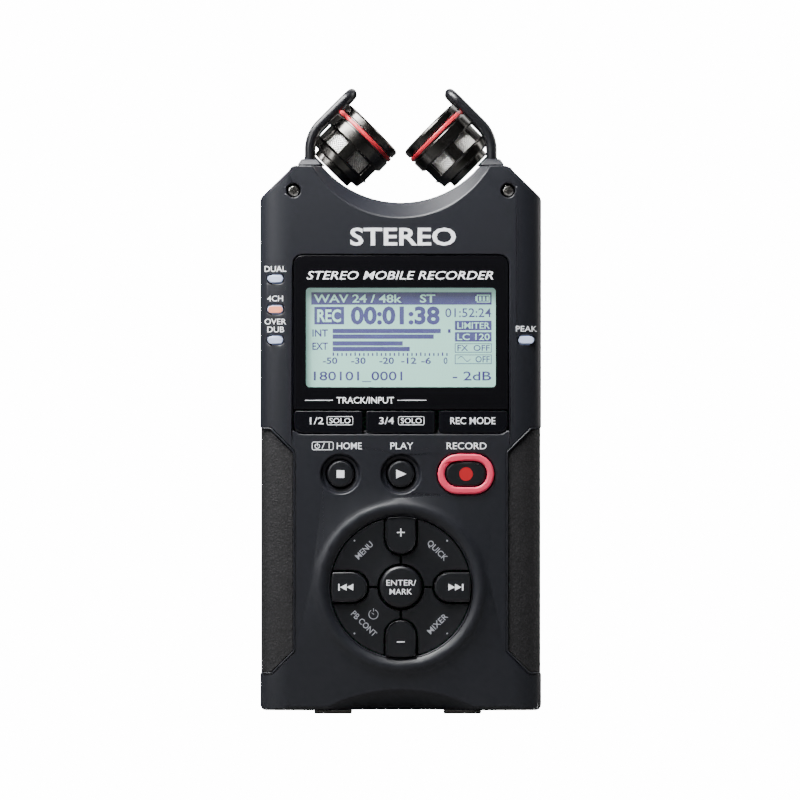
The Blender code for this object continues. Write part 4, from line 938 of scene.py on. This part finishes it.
def guardWire(side, lean):
    low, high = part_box("mic_guard_" + side)
    foot = low.x if lean > 0 else high.x
    tip = high.x if lean > 0 else low.x
    foot, tip = foot + lean * wire["radius"], tip - lean * wire["radius"]
    out, top, knee = high.y - wire["radius"], high.z - wire["radius"], low.z + wire["bendHeight"]
    front = [Vector((foot, -out, low.z)), Vector((foot, -out, knee)), Vector((tip, -out, top))]
    corners = front + [Vector((point.x, out, point.z)) for point in reversed(front)]
    path = rounded(corners, (wire["knee"], wire["tip"], wire["tip"], wire["knee"]))
    tube("guard_wire_" + side, path, wire["radius"], looks["guard_black"], "mic_" + side,
         ["mic_guard_" + side])


sleeve, grille = sleeveTree(), grilleTree()
for side, lean in (("left", 1), ("right", -1)):
    body = "mic_" + side
    low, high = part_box("mic_capsule_" + side)
    direction = Vector((lean, 0, 1)).normalized()
    centre = (low + high) / 2 - direction * mic["middle"] * mm
    axis = Matrix.Translation(centre) @ direction.to_track_quat("Z", "Y").to_matrix().to_4x4()
    up = Matrix.Translation((0, 0, mic["sleeveFoot"] * mm))
    newPiece("mic_sleeve_" + side, bakedTree(sleeve, mic["sleeve"], axis @ up), None, body)
    up = Matrix.Translation((0, 0, mic["grilleHeight"] * mm))
    newPiece("mic_grille_" + side, bakedTree(grille, mic["grille"], axis @ up), None, body)
    frame["nodes"]["mic_capsule_" + side].data.materials[0] = capsuleLook
    guardWire(side, lean)
    newPiece("mic_core_" + side, lathed(mic["core"], 64, axis), looks["dark_chrome"], body)
print("microphones ready")

# ---- back, foot and sides

door = {"Ridges": 7, "Pitch": 1.6 * mm, "Length": 16.0 * mm, "Thickness": 0.32 * mm}


def ridgeTree(material):
    kit, size = nodeTree("grip ridges", door)
    step = kit.out(kit.node("ShaderNodeCombineXYZ", {}, {"Z": size["Pitch"]}))
    spots = kit.out(kit.node("GeometryNodeMeshLine", {}, {"Count": size["Ridges"], "Offset": step}))
    half = size["Length"] / 2
    ends = [kit.out(kit.node("ShaderNodeCombineXYZ", {}, {"X": end})) for end in (half * -1.0, half)]
    bar = kit.out(kit.node("GeometryNodeCurvePrimitiveLine", {}, {"Start": ends[0], "End": ends[1]}))
    solid = wired(kit, bar, size, 12, True)
    bars = kit.out(kit.node("GeometryNodeInstanceOnPoints", {}, {"Points": spots, "Instance": solid}))
    endTree(kit, bars, material)
    return kit


doorLow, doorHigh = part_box("battery_door")
ridges = ridgeTree(looks["case_plastic"])
spot = Matrix.Translation((0, doorHigh.y, doorHigh.z - 14 * mm))
newPiece("door_ridges", bakedTree(ridges, door, spot), None, "battery_door")

turnBack = Matrix.Rotation(math.pi, 4, "Z")
doorInk = Ink(-doorHigh.y)
doorInk.words("OPEN", -4.0, 4.0, doorHigh.z / mm - 18.5, 1.8, 0.02)
doorInk.shape([(-1.6, doorHigh.z / mm - 21), (0, doorHigh.z / mm - 23.2), (1.6, doorHigh.z / mm - 21)][::-1])
doorInk.words("1.5V AA x 3", -8.0, 8.0, doorLow.z / mm + 8, 1.8, 0.01)
doorInk.finish("door_lettering", greyPrint, "battery_door", turnBack)

bushing = {"outer": 4.7, "inner": 3.35, "stand": 0.25, "contacts": 3, "contactRing": 7.2, "contactHole": 1.15}
for side in ("left", "right"):
    low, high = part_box("jack_" + side)
    x, y = (low.x + high.x) / 2, (low.y + high.y) / 2
    spot = Matrix.Translation((x, y, low.z))
    inner, outer, stand = bushing["inner"], bushing["outer"], bushing["stand"]
    profile = [(inner, 3.0), (inner, -stand + 0.15), (inner + 0.15, -stand), (outer - 0.25, -stand),
               (outer, -stand + 0.25), (outer, 0.2)]
    newPiece("jack_bushing_" + side, lathed(profile, 48, spot), looks["bright_metal"], "case")
    # each contact hole is a thin dark disc on the foot: painted shade standing in for the hole
    for contact in range(bushing["contacts"]):
        way = math.radians(90 + 120 * contact)
        off = Vector((math.cos(way), math.sin(way), 0)) * bushing["contactRing"] * mm
        hole = lathed([(0, -0.04), (bushing["contactHole"], -0.04), (bushing["contactHole"], 0.1), (0, 0.1)], 24,
                      Matrix.Translation(off) @ spot)
        newPiece(f"jack_contact_{side}_{contact}", hole, paintedHoleShade, "case")
print("foot and back ready")

# ---- stage, light and camera

backdrop = {"wide": 8.0, "front": -4.0, "back": 0.9, "curve": 0.5, "high": 4.0, "white": 16.0}
sweep = [(backdrop["front"], 0.0)]
sweep += [(backdrop["back"] + backdrop["curve"] * math.sin(math.radians(turn)),
           backdrop["curve"] * (1 - math.cos(math.radians(turn)))) for turn in range(0, 91, 6)]
sweep.append((backdrop["back"] + backdrop["curve"], backdrop["high"]))
bm = bmesh.new()
rails = [[bm.verts.new((side * backdrop["wide"] / 2, y, z)) for y, z in sweep] for side in (-1, 1)]
for index in range(len(sweep) - 1):
    bm.faces.new((rails[0][index], rails[1][index], rails[1][index + 1], rails[0][index + 1]))
sweepMesh = bpy.data.meshes.new("paleSweep")
bm.to_mesh(sweepMesh)
bm.free()
sweepMesh.shade_smooth()
paper = Look("pale paper", (0.10, 0.10, 0.10), 0.8)
paper.feed("Roughness", paper.noise(3.0) * 0.05 + 0.78)
glow = paper.node("ShaderNodeEmission", {}, {"Strength": backdrop["white"]})
seen = paper.out(paper.node("ShaderNodeLightPath"), "Is Camera Ray")
both = paper.node("ShaderNodeMixShader", {}, {0: seen * 0.95})
paper.tree.links.new(paper.shader.outputs[0], both.inputs[1])
paper.tree.links.new(glow.outputs[0], both.inputs[2])
paper.tree.links.new(both.outputs[0], paper.tree.nodes["Material Output"].inputs["Surface"])
sweepMesh.materials.append(paper.material)
sweepObject = bpy.data.objects.new("paleSweep", sweepMesh)
bpy.context.scene.collection.objects.link(sweepObject)

world = bpy.context.scene.world or bpy.data.worlds.new("studio")
bpy.context.scene.world = world
world.use_nodes = True
world.node_tree.nodes["Background"].inputs["Color"].default_value = (1.0, 1.0, 1.0, 1.0)
world.node_tree.nodes["Background"].inputs["Strength"].default_value = 0.03

lamps = {
    # name: (place, what it looks at, width, height, power)
    "topSoft": ((-0.12, -0.10, 0.33), (-0.01, -0.01, 0.12), 0.26, 0.14, 4.8),
    "leftStrip": ((-0.42, -0.50, 0.34), (0.0, 0.0, 0.12), 0.12, 0.30, 1.5),
    "rightStrip": ((0.60, 0.10, 0.22), (0.0, 0.0, 0.09), 0.2, 0.8, 2.5),
    "frontSoft": ((-0.30, -1.3, 0.85), (0.0, 0.0, 0.08), 0.5, 0.3, 0.3),
    "backSoft": ((0.2, 0.7, 0.8), (0.0, 0.0, 0.10), 0.8, 0.6, 4.0),
}
for name, (place, target, wide, tall, power) in lamps.items():
    lamp = bpy.data.lights.new(name, "AREA")
    lamp.shape = "RECTANGLE"
    lamp.size = wide
    lamp.size_y = tall
    lamp.energy = power
    holder = bpy.data.objects.new(name, lamp)
    holder.location = place
    holder.rotation_euler = (Vector(target) - Vector(place)).to_track_quat("-Z", "Y").to_euler()
    bpy.context.scene.collection.objects.link(holder)

cameraView = {"away": 1.4, "wide": 0.19885, "x": -0.0002, "z": 0.0782}
eye = bpy.data.cameras.new("eye")
eye.sensor_width = 36.0
eye.lens = 36.0 * (cameraView["away"] / cameraView["wide"])
eyeHolder = bpy.data.objects.new("eye", eye)
eyeHolder.location = (cameraView["x"], panel["y"] - cameraView["away"], cameraView["z"])
eyeHolder.rotation_euler = (math.radians(90), 0, 0)
bpy.context.scene.collection.objects.link(eyeHolder)
bpy.context.scene.camera = eyeHolder
